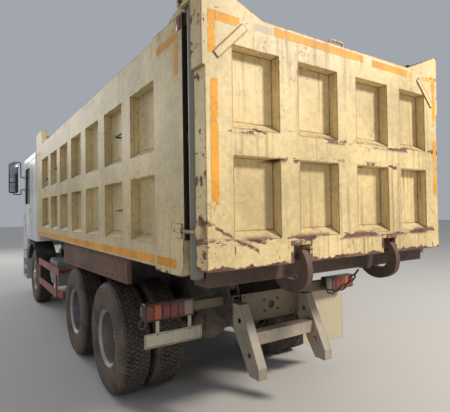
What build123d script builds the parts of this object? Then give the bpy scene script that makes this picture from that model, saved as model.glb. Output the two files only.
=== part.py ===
from build123d import *
import os

# A 6x4 cab-over dump truck. Millimetres, +X forward, +Y left, +Z up.
# The origin is on the ground, under the middle of the whole truck.
os.makedirs("parts", exist_ok=True)

# Lengths along the truck
front_overhang = 1500
wheelbase = 3650
tandem_spacing = 1350
rear_overhang = 2050
hook_overhang = 75
front_x = (front_overhang + wheelbase + tandem_spacing + rear_overhang + hook_overhang) / 2
front_axle_x = front_x - front_overhang
drive_axle_x = front_axle_x - wheelbase
tail_axle_x = drive_axle_x - tandem_spacing
gate_x = tail_axle_x - rear_overhang

# Clearances
running_gap = 0.05
side_gap = 4
rest_gap = 5
swing_gap = 6

# Tyres
tyre_radius = 550
tyre_width = 300
tyre_shoulder = 42
tyre_crown = 8
front_tyre_y = 1050
outer_tyre_y = 1088
dual_gap = 40
inner_tyre_y = outer_tyre_y - tyre_width - dual_gap
dual_y = (outer_tyre_y + inner_tyre_y) / 2
axle_z = tyre_radius

# Rims and hubs
rim_radius = 285
bead_radius = 262
rim_wall = 10
flange_inset = 25
bead_inset = 47
disc_wall = 13
disc_flat_radius = 190
disc_bore_radius = 141
disc_dish = 80
front_disc_offset = 62
hand_hole_radius = 24
hand_hole_circle = 224
hand_holes = 8
hub_barrel_radius = 118
hub_cap_radius = 96
hub_flange_wall = 27
drum_radius = 205
drum_length = 190
drum_wall = 16
spindle_radius = 40
spindle_reach = 170

# Chassis frame and tipping subframe
frame_top = 1060
frame_height = 280
frame_half_width = 430
rail_flange = 80
rail_wall = 14
frame_bottom = frame_top - frame_height
frame_rear_x = gate_x + 930
frame_front_x = front_x - 235
rail_inner_y = frame_half_width - rail_flange
web_inner_y = frame_half_width - rail_wall
crossmember_length = 100
crossmember_inset = 40
subframe_height = 90
subframe_top = frame_top + subframe_height

# Dump bed
bed_length = 6276
bed_half_width = 1250
side_depth = 85
skin = 10
side_bottom = 1416
side_top = 3056
front_plate_top = side_top + 244
rear_plate_top = side_top + 20
rear_plate_bottom = side_bottom - 26
floor_top = 1500
floor_wall = 12
floor_beam_height = 90
floor_beam_width = 80
floor_beam_pitch = 620
first_floor_beam = 560
floor_beams = 9
sill_length = 160
sill_bottom = 1335
bed_front_x = gate_x + bed_length
side_inner_y = bed_half_width - side_depth
under_floor = floor_top - floor_wall
floor_beam_bottom = under_floor - floor_beam_height
long_beam_bottom = subframe_top + rest_gap
ledge_rise = 55

# Side bays, measured forward from the tailgate's outer face
first_bay = 717
first_post = 1313
post_pitch = 723
post_width = 216
posts = 6
front_plate = 5655
side_bay_heights = ((1580, 2081), (2258, side_top - 285))

# Tailgate
gate_depth = 130
gate_half_width = bed_half_width - 10
gate_bottom = 1452
gate_top = side_top - 31
gate_recess = 78
gate_seal_gap = 6
gate_bay_heights = ((1626, 2145), (2315, gate_top - 205))
gate_bays = ((1044, 671), (496, 107), (-107, -496), (-671, -1044))
corner_tube_radius = 42
plate_gap = 40

# Tailgate hinge, hooks and side locks
gate_pin_x = gate_x + 250
gate_pin_z = side_top + 94
gate_pin_radius = 25
gate_arm_wall = 20
cheek_y = (gate_half_width - 45, gate_half_width - 15)
hook_y = 490
hook_wall = 50
hook_notch_half = 75
hook_notch_top = 1570
lock_z = 1685
lock_pin_radius = 12

# Bed pivot
pivot_x = gate_x + 1050
pivot_z = 1140
pivot_pin_radius = 30
lug_radius = 60
lug_width = 72
lug_y = 390
cheek_wall = 26
inner_cheek_y = lug_y - lug_width / 2 - side_gap
outer_cheek_y = lug_y + lug_width / 2 + side_gap

# Hoist, and the recess in the headboard that it stands in
hoist_x = bed_front_x - 125
hoist_base_z = 880
hoist_eye_z = 2780
hoist_pin_radius = 30
hoist_eye_radius = 50
barrel_radius = 95
tube_wall = 10
tube_gap = 0.5
stage_step = 20
head_height = 16
recess_half_width = 180
recess_depth = 290
recess_foot_depth = 740
recess_bend_z = 2620
recess_headroom = 190
tube_bottom = hoist_base_z + 90
tube_top = hoist_eye_z - 180

# Cab
cab_gap = 170
cab_length = 2055
cab_half_width = 1240
cab_floor = 1280
cab_skirt = 1050
cab_roof = 3060
cab_wall = 50
cab_front_wall = 62
cab_corner = 100
cab_rear_corner = 80
roof_edge = 50
cab_rear_x = bed_front_x + cab_gap
cab_front_x = cab_rear_x + cab_length
screen_base = 1960
screen_lean = 280
front_lean = 20
tunnel_half_width = 380
tunnel_top = 1560
tunnel_wall = 40
cab_pivot_x = front_x - 175
cab_pivot_z = 920
cab_pin_radius = 22
cab_ear_radius = 42

# Doors and windows
door_front_x = cab_front_x - 330
door_length = 980
door_bottom = cab_floor + cab_wall
door_top = cab_roof - 160
sill_z = screen_base + 50
pillar = 110
window_head = 90
glass_wall = 6
screen_half_width = cab_half_width - 170

# Bumper and steps
bumper_top = 860
bumper_bottom = 380
bumper_depth = 200
bumper_wall = 14
bumper_front_wall = 56
bumper_corner = 120
bumper_proud = 5
bumper_half_width = cab_half_width + bumper_proud
step_top = 1000
step_length = 545
step_width = 295
step_pocket = 150
lamp_height = 160
lamp_bottom = 580
lamp_inner_y = 880
lamp_outer_y = 1130
tow_bore_radius = 25
tow_bore_length = 40
tow_bore_y = 420
tow_bore_z = 480

# Front axle, knuckles and tie rod
kingpin_y = 860
kingpin_radius = 22
eye_radius = 50
beam_end_bottom = 500
beam_end_top = 590
beam_drop = 75
beam_drop_y = 440
beam_rise_y = 560
lug_gap = 5
lug_height = 55
yoke_wall = 18
arm_length = 200
arm_y = kingpin_y - 60
tie_rod_z = 405
tie_rod_radius = 20

# Leaf springs
leaf = 18
front_leaves = 5
front_spring_half_length = 780
front_spring_seat = 585
rear_leaves = 8
rear_leaf = 20
rear_spring_z = 702
spring_y = 440
spring_width = 85
leaf_slope = 0.1


def write(piece, node):
    """Labels a finished piece and writes its file."""
    piece.part.label = node
    export_step(piece.part, "parts/" + node + ".step")


def block(x_span, y_span, z_span, mode=Mode.ADD):
    """A rectangular plate or beam between two values along each axis."""
    size = [max(span) - min(span) for span in (x_span, y_span, z_span)]
    middle = tuple(sum(span) / 2 for span in (x_span, y_span, z_span))
    with Locations(middle):
        Box(*size, mode=mode)


def prism(plane, points, depth, mode=Mode.ADD):
    """A straight-sided plate: a closed outline pushed along its plane's normal."""
    with BuildSketch(plane) as outline:
        with BuildLine():
            Polyline(*points, close=True)
        make_face()
    extrude(outline.sketch, amount=depth, mode=mode)


def across(points, y_span, mode=Mode.ADD):
    """A plate whose outline is seen from the side, (x, z), between two values of y."""
    prism(Plane.XZ.offset(-max(y_span)), points, max(y_span) - min(y_span), mode)


def along(points, x_span, mode=Mode.ADD):
    """A beam whose section is seen from behind, (y, z), between two values of x."""
    prism(Plane.YZ.offset(min(x_span)), points, max(x_span) - min(x_span), mode)


def disc(x, z, radius, y_span, mode=Mode.ADD):
    """A round bar, eye or bore that runs across the truck."""
    with BuildSketch(Plane.XZ.offset(-max(y_span))) as outline:
        with Locations((x, z)):
            Circle(radius)
    extrude(outline.sketch, amount=max(y_span) - min(y_span), mode=mode)


def post(x, y, radius, z_span, mode=Mode.ADD):
    """A round upright."""
    with BuildSketch(Plane.XY.offset(min(z_span))) as outline:
        with Locations((x, y)):
            Circle(radius)
    extrude(outline.sketch, amount=max(z_span) - min(z_span), mode=mode)


def bar(start, end, radius, mode=Mode.ADD):
    """A round bar or bore between two points."""
    run = Vector(end) - Vector(start)
    with BuildSketch(Plane(origin=start, z_dir=run)) as section:
        Circle(radius)
    extrude(section.sketch, amount=run.length, mode=mode)


def bent_bar(points, radius, bend):
    """A round bar bent along straight runs."""
    with BuildLine() as path:
        FilletPolyline(*points, radius=bend)
    run = path.wires()[0]
    with BuildSketch(Plane(origin=run @ 0, z_dir=run % 0)) as section:
        Circle(radius)
    sweep(section.sketch, path=run)


def turned(centre, points, mode=Mode.ADD):
    """A form turned about an axle across the truck: the outline's points are (radius, y)."""
    with BuildSketch(Plane(origin=centre)) as outline:
        with BuildLine():
            Polyline(*points, close=True)
        make_face()
    revolve(outline.sketch, axis=Axis(centre, (0, 1, 0)), mode=mode)


def both(y_span):
    """A span across the truck and its mirror image on the right."""
    low, high = y_span
    return (low, high), (-high, -low)


def sided(sign, near, far):
    """A span given for the left side, put on the side of the sign."""
    return sorted((sign * near, sign * far))


def leaf_pack(x, y_span, z, half_length, leaves, thickness, slope):
    """A pack of leaves, its longest at z. The others get shorter downwards where the ends rise, else upwards."""
    step = -thickness if slope > 0 else thickness
    for i in range(leaves):
        reach = half_length * (1 - i / (leaves + 1))
        level = z + i * step
        ends = level + slope * reach
        across(
            [(x - reach, ends), (x, level), (x + reach, ends),
             (x + reach, ends + thickness), (x, level + thickness), (x - reach, ends + thickness)],
            y_span,
        )


# Chassis frame: two channel rails, their crossmembers, the tipping subframe and the brackets
crossmember_xs = [
    frame_rear_x + 60, drive_axle_x - tandem_spacing / 2, drive_axle_x + 700,
    hoist_x - 700, frame_front_x - 150,
]
horn_inner_y = (tunnel_half_width - 30, tunnel_half_width - 4)
horn_outer_y = (tunnel_half_width + 44, tunnel_half_width + 70)
with BuildPart() as chassis_frame:
    for side in (1, -1):
        along(
            [(side * frame_half_width, frame_bottom), (side * rail_inner_y, frame_bottom),
             (side * rail_inner_y, frame_bottom + rail_wall), (side * web_inner_y, frame_bottom + rail_wall),
             (side * web_inner_y, frame_top - rail_wall), (side * rail_inner_y, frame_top - rail_wall),
             (side * rail_inner_y, frame_top), (side * frame_half_width, frame_top)],
            (frame_rear_x, frame_front_x),
        )
    for x in crossmember_xs:
        low, high = frame_bottom + crossmember_inset, frame_top - crossmember_inset
        rear, front = x - crossmember_length / 2, x + crossmember_length / 2
        web = (-web_inner_y, web_inner_y)
        block((rear, front), web, (low, high))
        block((rear + rail_wall, front + 1), web, (low + rail_wall, high - rail_wall), Mode.SUBTRACT)
    # Subframe that the bed's long beams come down on
    for y_span in both((rail_inner_y, frame_half_width)):
        block((pivot_x + lug_radius + 20, hoist_x + 60), y_span, (frame_top, subframe_top))
    # Cheeks of the bed's pivot
    for y_span in both((inner_cheek_y - cheek_wall, inner_cheek_y)) + both((outer_cheek_y, outer_cheek_y + cheek_wall)):
        across(
            [(pivot_x - 90, frame_bottom + 60), (pivot_x + 130, frame_bottom + 60), (pivot_x + 130, frame_top),
             (pivot_x + 45, pivot_z + 20), (pivot_x - 45, pivot_z + 20), (pivot_x - 90, frame_top)],
            y_span,
        )
        disc(pivot_x, pivot_z, 50, y_span)
    for y_span in both((inner_cheek_y - cheek_wall, outer_cheek_y + cheek_wall + 12)):
        disc(pivot_x, pivot_z, pivot_pin_radius, y_span)
    # Cradle of the hoist's base pin
    block((hoist_x - 110, hoist_x + 110), (-web_inner_y, web_inner_y), (frame_bottom - 20, frame_bottom + 20))
    for y_span in both((54, 80)):
        block((hoist_x - 50, hoist_x + 50), y_span, (frame_bottom + 20, hoist_base_z))
        disc(hoist_x, hoist_base_z, 50, y_span)
    disc(hoist_x, hoist_base_z, hoist_pin_radius, (-92, 92))
    # Horns that carry the cab's pivot
    for y_span in both(horn_inner_y) + both(horn_outer_y):
        across(
            [(frame_front_x - 150, frame_bottom + 30), (frame_front_x - 5, bumper_top + 10),
             (cab_pivot_x + 40, bumper_top + 10), (cab_pivot_x + 40, cab_pivot_z + 35),
             (cab_pivot_x - 40, cab_pivot_z + 45), (frame_front_x - 150, cab_pivot_z + 60)],
            y_span,
        )
    for y_span in both((horn_inner_y[0], horn_outer_y[1] + 10)):
        disc(cab_pivot_x, cab_pivot_z, cab_pin_radius, y_span)
write(chassis_frame, "chassis_frame")

# Rear crossbeam that carries the lamps, the drawbar's plate, and the one mudflap left, torn at its foot
rear_beam_x = gate_x + 1000
beam_rear_x = rear_beam_x + 40
beam_depth = 80
beam_front_x = beam_rear_x + beam_depth
beam_top = 1040
beam_wall = 8
beam_outer_y = bed_half_width - 35
end_plate_y = 340
end_plate_bottom = frame_bottom + 20
drawbar_z = 930
drawbar_spacing_y = 160
drawbar_spacing_z = 100
drawbar_hole_radius = 10.5
drawbar_eye_radius = 35
flap_wall = 8
flap_inner_y = 600
flap_outer_y = bed_half_width - 25
flap_bottom = 330
with BuildPart() as rear_beam:
    for y_span in both((outer_cheek_y + cheek_wall, beam_outer_y)):
        block((beam_rear_x, beam_front_x), y_span, (beam_top - beam_depth, beam_top))
        block(
            (beam_rear_x + beam_wall, beam_front_x + 1), (min(y_span) + beam_wall, max(y_span) - beam_wall),
            (beam_top - beam_depth + beam_wall, beam_top - beam_wall), Mode.SUBTRACT,
        )
    block((frame_rear_x - beam_wall, frame_rear_x), (-end_plate_y, end_plate_y), (end_plate_bottom, frame_top))
    with BuildSketch(Plane.YZ.offset(frame_rear_x - beam_wall - 1)) as holes:
        with Locations((0, drawbar_z)):
            Circle(drawbar_eye_radius)
            with GridLocations(drawbar_spacing_y, drawbar_spacing_z, 2, 2):
                Circle(drawbar_hole_radius)
    extrude(holes.sketch, amount=beam_wall + 2, mode=Mode.SUBTRACT)
    along(
        [(-flap_inner_y, beam_top - 40), (-flap_inner_y, flap_bottom + 60), (-700, flap_bottom + 15),
         (-790, flap_bottom + 50), (-880, flap_bottom), (-1040, flap_bottom + 25), (-flap_outer_y, flap_bottom + 5),
         (-flap_outer_y, beam_top - 40)],
        (beam_front_x, beam_front_x + flap_wall),
    )
    block(
        (beam_front_x - 4, beam_front_x), (-beam_outer_y, -flap_inner_y),
        (beam_top - beam_depth - 40, beam_top - beam_depth),
    )
write(rear_beam, "rear_beam")

# Rear underrun guard: two leaning channel legs with holes, and a channel bar between them
guard_bar_x = gate_x + 770
leg_width = 90
leg_wall = 8
leg_hole_radius = 22
guard_bar_bottom = 660
guard_bar_top = 770
leg_outline = [
    (gate_x + 820, 1000), (frame_rear_x, 1000), (frame_rear_x, 780), (gate_x + 700, 430), (gate_x + 580, 430),
    (gate_x + 580, 520),
]
leg_hollow = [
    (gate_x + 840, 950), (frame_rear_x + 1, 950), (frame_rear_x + 1, 760), (gate_x + 712, 420), (gate_x + 600, 420),
    (gate_x + 600, 520),
]
leg_inner_y = frame_half_width - leg_width
with BuildPart() as underrun_guard:
    for y_span in both((leg_inner_y, frame_half_width)):
        across(leg_outline, y_span)
        across(leg_hollow, (min(y_span) + leg_wall, max(y_span) - leg_wall), Mode.SUBTRACT)
        for x, z in ((gate_x + 700, 600), (gate_x + 835, 860)):
            disc(x, z, leg_hole_radius, (min(y_span) - 1, max(y_span) + 1), Mode.SUBTRACT)
    bar_y = (-leg_inner_y, leg_inner_y)
    block((guard_bar_x - 50, guard_bar_x + 50), bar_y, (guard_bar_bottom, guard_bar_top))
    hollow_z = (guard_bar_bottom + leg_wall, guard_bar_top - leg_wall)
    block((guard_bar_x - 42, guard_bar_x + 51), bar_y, hollow_z, Mode.SUBTRACT)
write(underrun_guard, "underrun_guard")

# Tail lamps: a housing each side with three lens pockets
lamp_y = (800, bed_half_width - 15)
lamp_z = (945, 1085)
lamp_rim = 10
lamp_pockets = 3
pocket_depth = 12
pocket_width = (lamp_y[1] - lamp_y[0] - (lamp_pockets + 1) * lamp_rim) / lamp_pockets
with BuildPart() as tail_lamps:
    for y_span in both(lamp_y):
        block((rear_beam_x - 30, beam_rear_x), y_span, lamp_z)
    fillet(tail_lamps.edges().filter_by(Axis.X), 14)
    for y_span in both(lamp_y):
        for i in range(lamp_pockets):
            start = min(y_span) + lamp_rim + i * (pocket_width + lamp_rim)
            block(
                (rear_beam_x - 31, rear_beam_x - 30 + pocket_depth), (start, start + pocket_width),
                (lamp_z[0] + lamp_rim, lamp_z[1] - lamp_rim), Mode.SUBTRACT,
            )
write(tail_lamps, "tail_lamps")

# Number plate, blank, with a raised edge, on two straps
plate_y = (bed_half_width - 535, bed_half_width - 15)
plate_z = (730, 845)
plate_rear_x = rear_beam_x - 12
plate_wall = 4
plate_edge = 6
with BuildPart() as number_plate:
    block((plate_rear_x, plate_rear_x + plate_wall), plate_y, plate_z)
    fillet(number_plate.edges().filter_by(Axis.X), 12)
    block(
        (plate_rear_x - 1, plate_rear_x + plate_wall / 2), (plate_y[0] + plate_edge, plate_y[1] - plate_edge),
        (plate_z[0] + plate_edge, plate_z[1] - plate_edge), Mode.SUBTRACT,
    )
    for y in (plate_y[0] + 115, plate_y[1] - 115):
        strap_x = plate_rear_x + plate_wall
        block((strap_x, strap_x + 5), (y - 15, y + 15), (plate_z[0] + 30, lamp_z[0]))
write(number_plate, "number_plate")

# Powertrain: engine with gearbox as plain blocks, the radiator, and the propeller shafts with their joints
engine_rear_x = front_axle_x - 250
engine_front_x = front_axle_x + 900
engine_half_width = tunnel_half_width - 50
engine_top = tunnel_top - 60
gearbox_rear_x = hoist_x + 130
shaft_front_z = 670
shaft_radius = 42
joint_radius = 70
joint_length = 60
bowl_front = 235
bowl_rear = 180
with BuildPart() as powertrain:
    block((engine_rear_x, engine_front_x), (20 - engine_half_width, engine_half_width - 20), (720, 1190))
    block((engine_rear_x, engine_front_x), (-engine_half_width, engine_half_width), (1190, engine_top))
    block((gearbox_rear_x, engine_rear_x), (-230, 230), (610, 1030))
    block((engine_front_x + 80, engine_front_x + 160), (-engine_half_width, engine_half_width), (720, engine_top))
    shafts = [
        ((gearbox_rear_x - rest_gap, 0, shaft_front_z), (drive_axle_x + bowl_front + rest_gap, 0, axle_z)),
        ((drive_axle_x - bowl_rear - rest_gap, 0, axle_z), (tail_axle_x + bowl_front + rest_gap, 0, axle_z)),
    ]
    for front_end, rear_end in shafts:
        bar(front_end, rear_end, shaft_radius)
        joint = (Vector(rear_end) - Vector(front_end)).normalized() * joint_length
        bar(front_end, Vector(front_end) + joint, joint_radius)
        bar(rear_end, Vector(rear_end) - joint, joint_radius)
write(powertrain, "powertrain")

# Front axle: a dropped I-beam with an eye for the kingpin at each end, on leaf springs
drop_bottom = beam_end_bottom - beam_drop
drop_top = beam_end_top - beam_drop
beam_flange = 22
beam_half_web = 14
spring_top = front_spring_seat + front_leaves * leaf
spring_eye_z = spring_top - leaf / 2 + leaf_slope * front_spring_half_length
spring_eye_radius = 34
hanger_top = frame_top - 100
with BuildPart() as front_axle:
    along(
        [(-kingpin_y, beam_end_bottom), (-beam_rise_y, beam_end_bottom), (-beam_drop_y, drop_bottom),
         (beam_drop_y, drop_bottom), (beam_rise_y, beam_end_bottom), (kingpin_y, beam_end_bottom),
         (kingpin_y, beam_end_top), (beam_rise_y, beam_end_top), (beam_drop_y, drop_top),
         (-beam_drop_y, drop_top), (-beam_rise_y, beam_end_top), (-kingpin_y, beam_end_top)],
        (front_axle_x - eye_radius, front_axle_x + eye_radius),
    )
    for x in (front_axle_x - eye_radius, front_axle_x + eye_radius):
        web_x = front_axle_x + beam_half_web if x > front_axle_x else front_axle_x - beam_half_web
        block((x, web_x), (-beam_drop_y, beam_drop_y), (drop_bottom + beam_flange, drop_top - beam_flange), Mode.SUBTRACT)
    for y in (kingpin_y, -kingpin_y):
        post(front_axle_x, y, eye_radius, (beam_end_bottom, beam_end_top))
        post(front_axle_x, y, kingpin_radius + running_gap, (beam_end_bottom, beam_end_top), Mode.SUBTRACT)
    for y_span in both((spring_y, spring_y + spring_width)):
        leaf_pack(front_axle_x, y_span, spring_top - leaf, front_spring_half_length, front_leaves, leaf, leaf_slope)
        block((front_axle_x - 70, front_axle_x + 70), y_span, (drop_bottom + 60, front_spring_seat + 1))
        block((front_axle_x - 70, front_axle_x + 70), y_span, (spring_top - 2, spring_top + 30))
    for y_span in both((frame_half_width, spring_y + spring_width)):
        for x in (front_axle_x - front_spring_half_length, front_axle_x + front_spring_half_length):
            disc(x, spring_eye_z, spring_eye_radius, y_span)
            across([(x - 60, hanger_top), (x + 60, hanger_top), (x + 28, spring_eye_z), (x - 28, spring_eye_z)], y_span)
write(front_axle, "front_axle")

# Drive axles: tapering housings with a round bowl for the differential, and the wheels' spindles
housing_end_y = inner_tyre_y - tyre_width / 2 + 60
housing_radius = 70
bowl_radius = 215
pad_top = axle_z + housing_radius + 4
spindle_end_y = dual_y + spindle_reach
brake_plate_radius = drum_radius - drum_wall - 12
with BuildPart() as drive_axles:
    for x in (drive_axle_x, tail_axle_x):
        turned(
            (x, 0, axle_z),
            [(0, -housing_end_y), (housing_radius, -housing_end_y), (housing_radius + 8, -320), (120, -200),
             (120, 200), (housing_radius + 8, 320), (housing_radius, housing_end_y), (0, housing_end_y)],
        )
        with BuildSketch(Plane.XZ) as bowl:
            with BuildLine():
                Polyline(
                    (x - bowl_rear, axle_z), (x - bowl_rear, axle_z + 60), (x - 150, axle_z + 140),
                    (x - 70, axle_z + bowl_radius), (x + 60, axle_z + bowl_radius), (x + 80, axle_z + 170),
                    (x + 160, axle_z + 110), (x + bowl_front, axle_z + 85), (x + bowl_front, axle_z), close=True,
                )
            make_face()
        revolve(bowl.sketch, axis=Axis((x, 0, axle_z), (1, 0, 0)))
        for y_span in both((housing_end_y, spindle_end_y)):
            disc(x, axle_z, spindle_radius, y_span)
        for y_span in both((spring_y, spring_y + spring_width)):
            block((x - 80, x + 80), y_span, (axle_z, pad_top))
        for y_span in both((housing_end_y - 22, housing_end_y)):
            disc(x, axle_z, brake_plate_radius, y_span)
write(drive_axles, "drive_axles")

# Rear suspension: two leaf packs clamped on the trunnion between the axles, their ends on the axles' pads
trunnion_x = (drive_axle_x + tail_axle_x) / 2
trunnion_z = 570
trunnion_radius = 50
rear_spring_reach = tandem_spacing / 2 + 80
rear_slope = -(rear_spring_z - pad_top - side_gap) / rear_spring_reach
rear_pack_top = rear_spring_z + rear_leaves * rear_leaf
bracket_y = (frame_half_width - 26, frame_half_width + 4)
with BuildPart() as rear_springs:
    for y_span in both((spring_y, spring_y + spring_width)):
        leaf_pack(trunnion_x, y_span, rear_spring_z, rear_spring_reach, rear_leaves, rear_leaf, rear_slope)
        block((trunnion_x - 75, trunnion_x + 75), y_span, (rear_pack_top - 4, rear_pack_top + 25))
        across(
            [(trunnion_x - 120, rear_spring_z), (trunnion_x + 120, rear_spring_z), (trunnion_x + 60, trunnion_z),
             (trunnion_x - 60, trunnion_z)],
            y_span,
        )
        disc(trunnion_x, trunnion_z, 75, y_span)
    for y_span in both(bracket_y):
        across(
            [(trunnion_x - 260, frame_bottom), (trunnion_x + 260, frame_bottom), (trunnion_x + 70, trunnion_z - 40),
             (trunnion_x - 70, trunnion_z - 40)],
            y_span,
        )
    for y_span in both((bracket_y[0] - 60, spring_y + spring_width)):
        disc(trunnion_x, trunnion_z, trunnion_radius, y_span)
write(rear_springs, "rear_springs")

# Fuel tank with its straps, filler and brackets, on the right
tank_rear_x = gate_x + 4620
tank_length = 1000
tank_y = (-1150, -520)
tank_z = (560, 1040)
tank_corner = 90
tank_strap = 60
strap_proud = 6
filler_radius = 45
with BuildPart() as fuel_tank:
    block((tank_rear_x, tank_rear_x + tank_length), tank_y, tank_z)
    fillet(fuel_tank.edges().filter_by(Axis.X), tank_corner)
    for x in (tank_rear_x + 200, tank_rear_x + tank_length - 260):
        with BuildSketch(Plane.YZ.offset(x)) as strap:
            with Locations((sum(tank_y) / 2, sum(tank_z) / 2)):
                RectangleRounded(
                    tank_y[1] - tank_y[0] + 2 * strap_proud, tank_z[1] - tank_z[0] + 2 * strap_proud,
                    tank_corner + strap_proud,
                )
        extrude(strap.sketch, amount=tank_strap)
        block((x, x + tank_strap), (tank_y[1] - 40, -frame_half_width), (900, 990))
    post(tank_rear_x + tank_length - 100, tank_y[0] + 90, filler_radius, (tank_z[1] - 60, tank_z[1] + 40))
write(fuel_tank, "fuel_tank")

# Battery box with its lid, and two air tanks with domed ends, on the left
battery_rear_x = gate_x + 4950
battery_front_x = battery_rear_x + 600
battery_y = (560, 1130)
battery_z = (620, 1010)
lid_height = 90
lid_proud = 8
louvre_panels = 3
air_tank_radius = 98
air_tank_half = 230
air_tank_y = 860
air_tank_x = gate_x + 5900
air_tank_zs = (700, 910)
tank_bracket_z = (770, 842)
with BuildPart() as battery_box:
    block((battery_rear_x, battery_front_x), battery_y, battery_z)
    block(
        (battery_rear_x - lid_proud, battery_front_x + lid_proud), (battery_y[0] - lid_proud, battery_y[1] + lid_proud),
        (battery_z[1] - lid_height, battery_z[1] + lid_proud),
    )
    for i in range(louvre_panels):
        x = battery_rear_x + 110 + i * 140
        block((x, x + 100), (battery_y[1] - 6, battery_y[1] + 1), (battery_z[0] + 40, battery_z[1] - 130), Mode.SUBTRACT)
    block((battery_rear_x + 50, battery_front_x - 50), (frame_half_width, battery_y[0]), (860, 940))
    for z in air_tank_zs:
        turned(
            (air_tank_x, air_tank_y, z),
            [(0, -air_tank_half), (70, 12 - air_tank_half), (air_tank_radius, 46 - air_tank_half),
             (air_tank_radius, air_tank_half - 46), (70, air_tank_half - 12), (0, air_tank_half)],
        )
    block((air_tank_x - 40, air_tank_x + 40), (frame_half_width, air_tank_y - air_tank_half + 90), tank_bracket_z)
    block((battery_front_x, air_tank_x - 20), (700, 740), tank_bracket_z)
write(battery_box, "battery_box")

# Silencer with its outlet, on the right
silencer_x = gate_x + 6050
silencer_y = -800
silencer_z = 830
silencer_radius = 170
silencer_half = 300
pipe_radius = 50
with BuildPart() as silencer:
    turned(
        (silencer_x, silencer_y, silencer_z),
        [(0, -silencer_half), (silencer_radius - 25, -silencer_half), (silencer_radius, 25 - silencer_half),
         (silencer_radius, silencer_half - 25), (silencer_radius - 25, silencer_half), (0, silencer_half)],
    )
    block((silencer_x - 40, silencer_x + 40), (silencer_y + silencer_half - 20, -frame_half_width), (860, 960))
    post(silencer_x, silencer_y - 100, pipe_radius, (silencer_z - silencer_radius - 90, silencer_z - 100))
write(silencer, "silencer")

# Red side guards: two rails on uprights each side, the left one's lower rear end bent in
guard_y = (bed_half_width - 60, bed_half_width - 35)
guard_rear_x = gate_x + 4450
guard_front_x = gate_x + 6350
upper_rail = (860, 970)
lower_rail = (500, 610)
bend_x = guard_rear_x + 280
bend_in = 70
bracket_z = (890, 940)
with BuildPart() as side_guards:
    for y_span in both(guard_y):
        block((guard_rear_x, guard_front_x), y_span, upper_rail)
        for x in (bend_x - 30, guard_front_x - 50):
            block((x - 30, x + 30), y_span, (lower_rail[0], upper_rail[1]))
    for y_span in both((frame_half_width, guard_y[0])):
        for x in (guard_rear_x + 110, guard_rear_x + 1270):
            block((x - 25, x + 25), y_span, bracket_z)
    block((guard_rear_x + 50, guard_front_x), (-guard_y[1], -guard_y[0]), lower_rail)
    block((bend_x, guard_front_x), guard_y, lower_rail)
    prism(
        Plane.XY.offset(lower_rail[0]),
        [(bend_x, guard_y[0]), (bend_x, guard_y[1]), (guard_rear_x + 60, guard_y[1] - bend_in),
         (guard_rear_x + 60, guard_y[0] - bend_in)],
        lower_rail[1] - lower_rail[0],
    )
write(side_guards, "side_guards")

# Front bumper: a hollow beam with an air slot, lamp pockets and towing sockets, and the steps behind its ends
bumper_rear_x = front_x - bumper_depth
step_rear_x = bumper_rear_x - step_length
step_inner_y = bumper_half_width - step_width
pocket_floor_y = bumper_half_width - step_pocket
air_slots = 3
air_slot_half_width = 620
air_slot_height = 34
air_slot_pitch = 56
with BuildPart() as front_bumper:
    block((bumper_rear_x, front_x), (-bumper_half_width, bumper_half_width), (bumper_bottom, bumper_top))
    fillet(front_bumper.edges().filter_by(Axis.Z).sort_by(Axis.X)[-2:], bumper_corner)
    block(
        (bumper_rear_x - 1, front_x - bumper_front_wall), (-step_inner_y, step_inner_y),
        (bumper_bottom - 1, bumper_top - bumper_wall), Mode.SUBTRACT,
    )
    for sign in (1, -1):
        block((step_rear_x, bumper_rear_x + 1), sided(sign, step_inner_y, bumper_half_width), (bumper_bottom, step_top))
        pocket_y = sided(sign, pocket_floor_y, bumper_half_width + 1)
        for z_span in ((bumper_bottom + 60, bumper_bottom + 210), (bumper_bottom + 270, bumper_bottom + 430)):
            block((step_rear_x + 60, bumper_rear_x - 60), pocket_y, z_span, Mode.SUBTRACT)
        block(
            (frame_front_x, front_x - bumper_front_wall), sided(sign, rail_inner_y, frame_half_width),
            (frame_bottom, bumper_top - bumper_wall),
        )
        block(
            (front_x - 30, front_x + 1), sided(sign, lamp_inner_y, lamp_outer_y),
            (lamp_bottom, lamp_bottom + lamp_height), Mode.SUBTRACT,
        )
        bore_start = (front_x - tow_bore_length, sign * tow_bore_y, tow_bore_z)
        bar(bore_start, (front_x + 1, sign * tow_bore_y, tow_bore_z), tow_bore_radius, Mode.SUBTRACT)
    for i in range(air_slots):
        z = bumper_bottom + 240 + i * air_slot_pitch
        block((front_x - 24, front_x + 1), (-air_slot_half_width, air_slot_half_width), (z, z + air_slot_height), Mode.SUBTRACT)
write(front_bumper, "front_bumper")

lens_gap = 4
with BuildPart() as headlamps:
    for y_span in both((lamp_inner_y + lens_gap, lamp_outer_y - lens_gap)):
        block((front_x - 30, front_x - 6), y_span, (lamp_bottom + lens_gap, lamp_bottom + lamp_height - lens_gap))
    fillet(headlamps.edges().group_by(Axis.X)[-1], 8)
write(headlamps, "headlamps")

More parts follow.
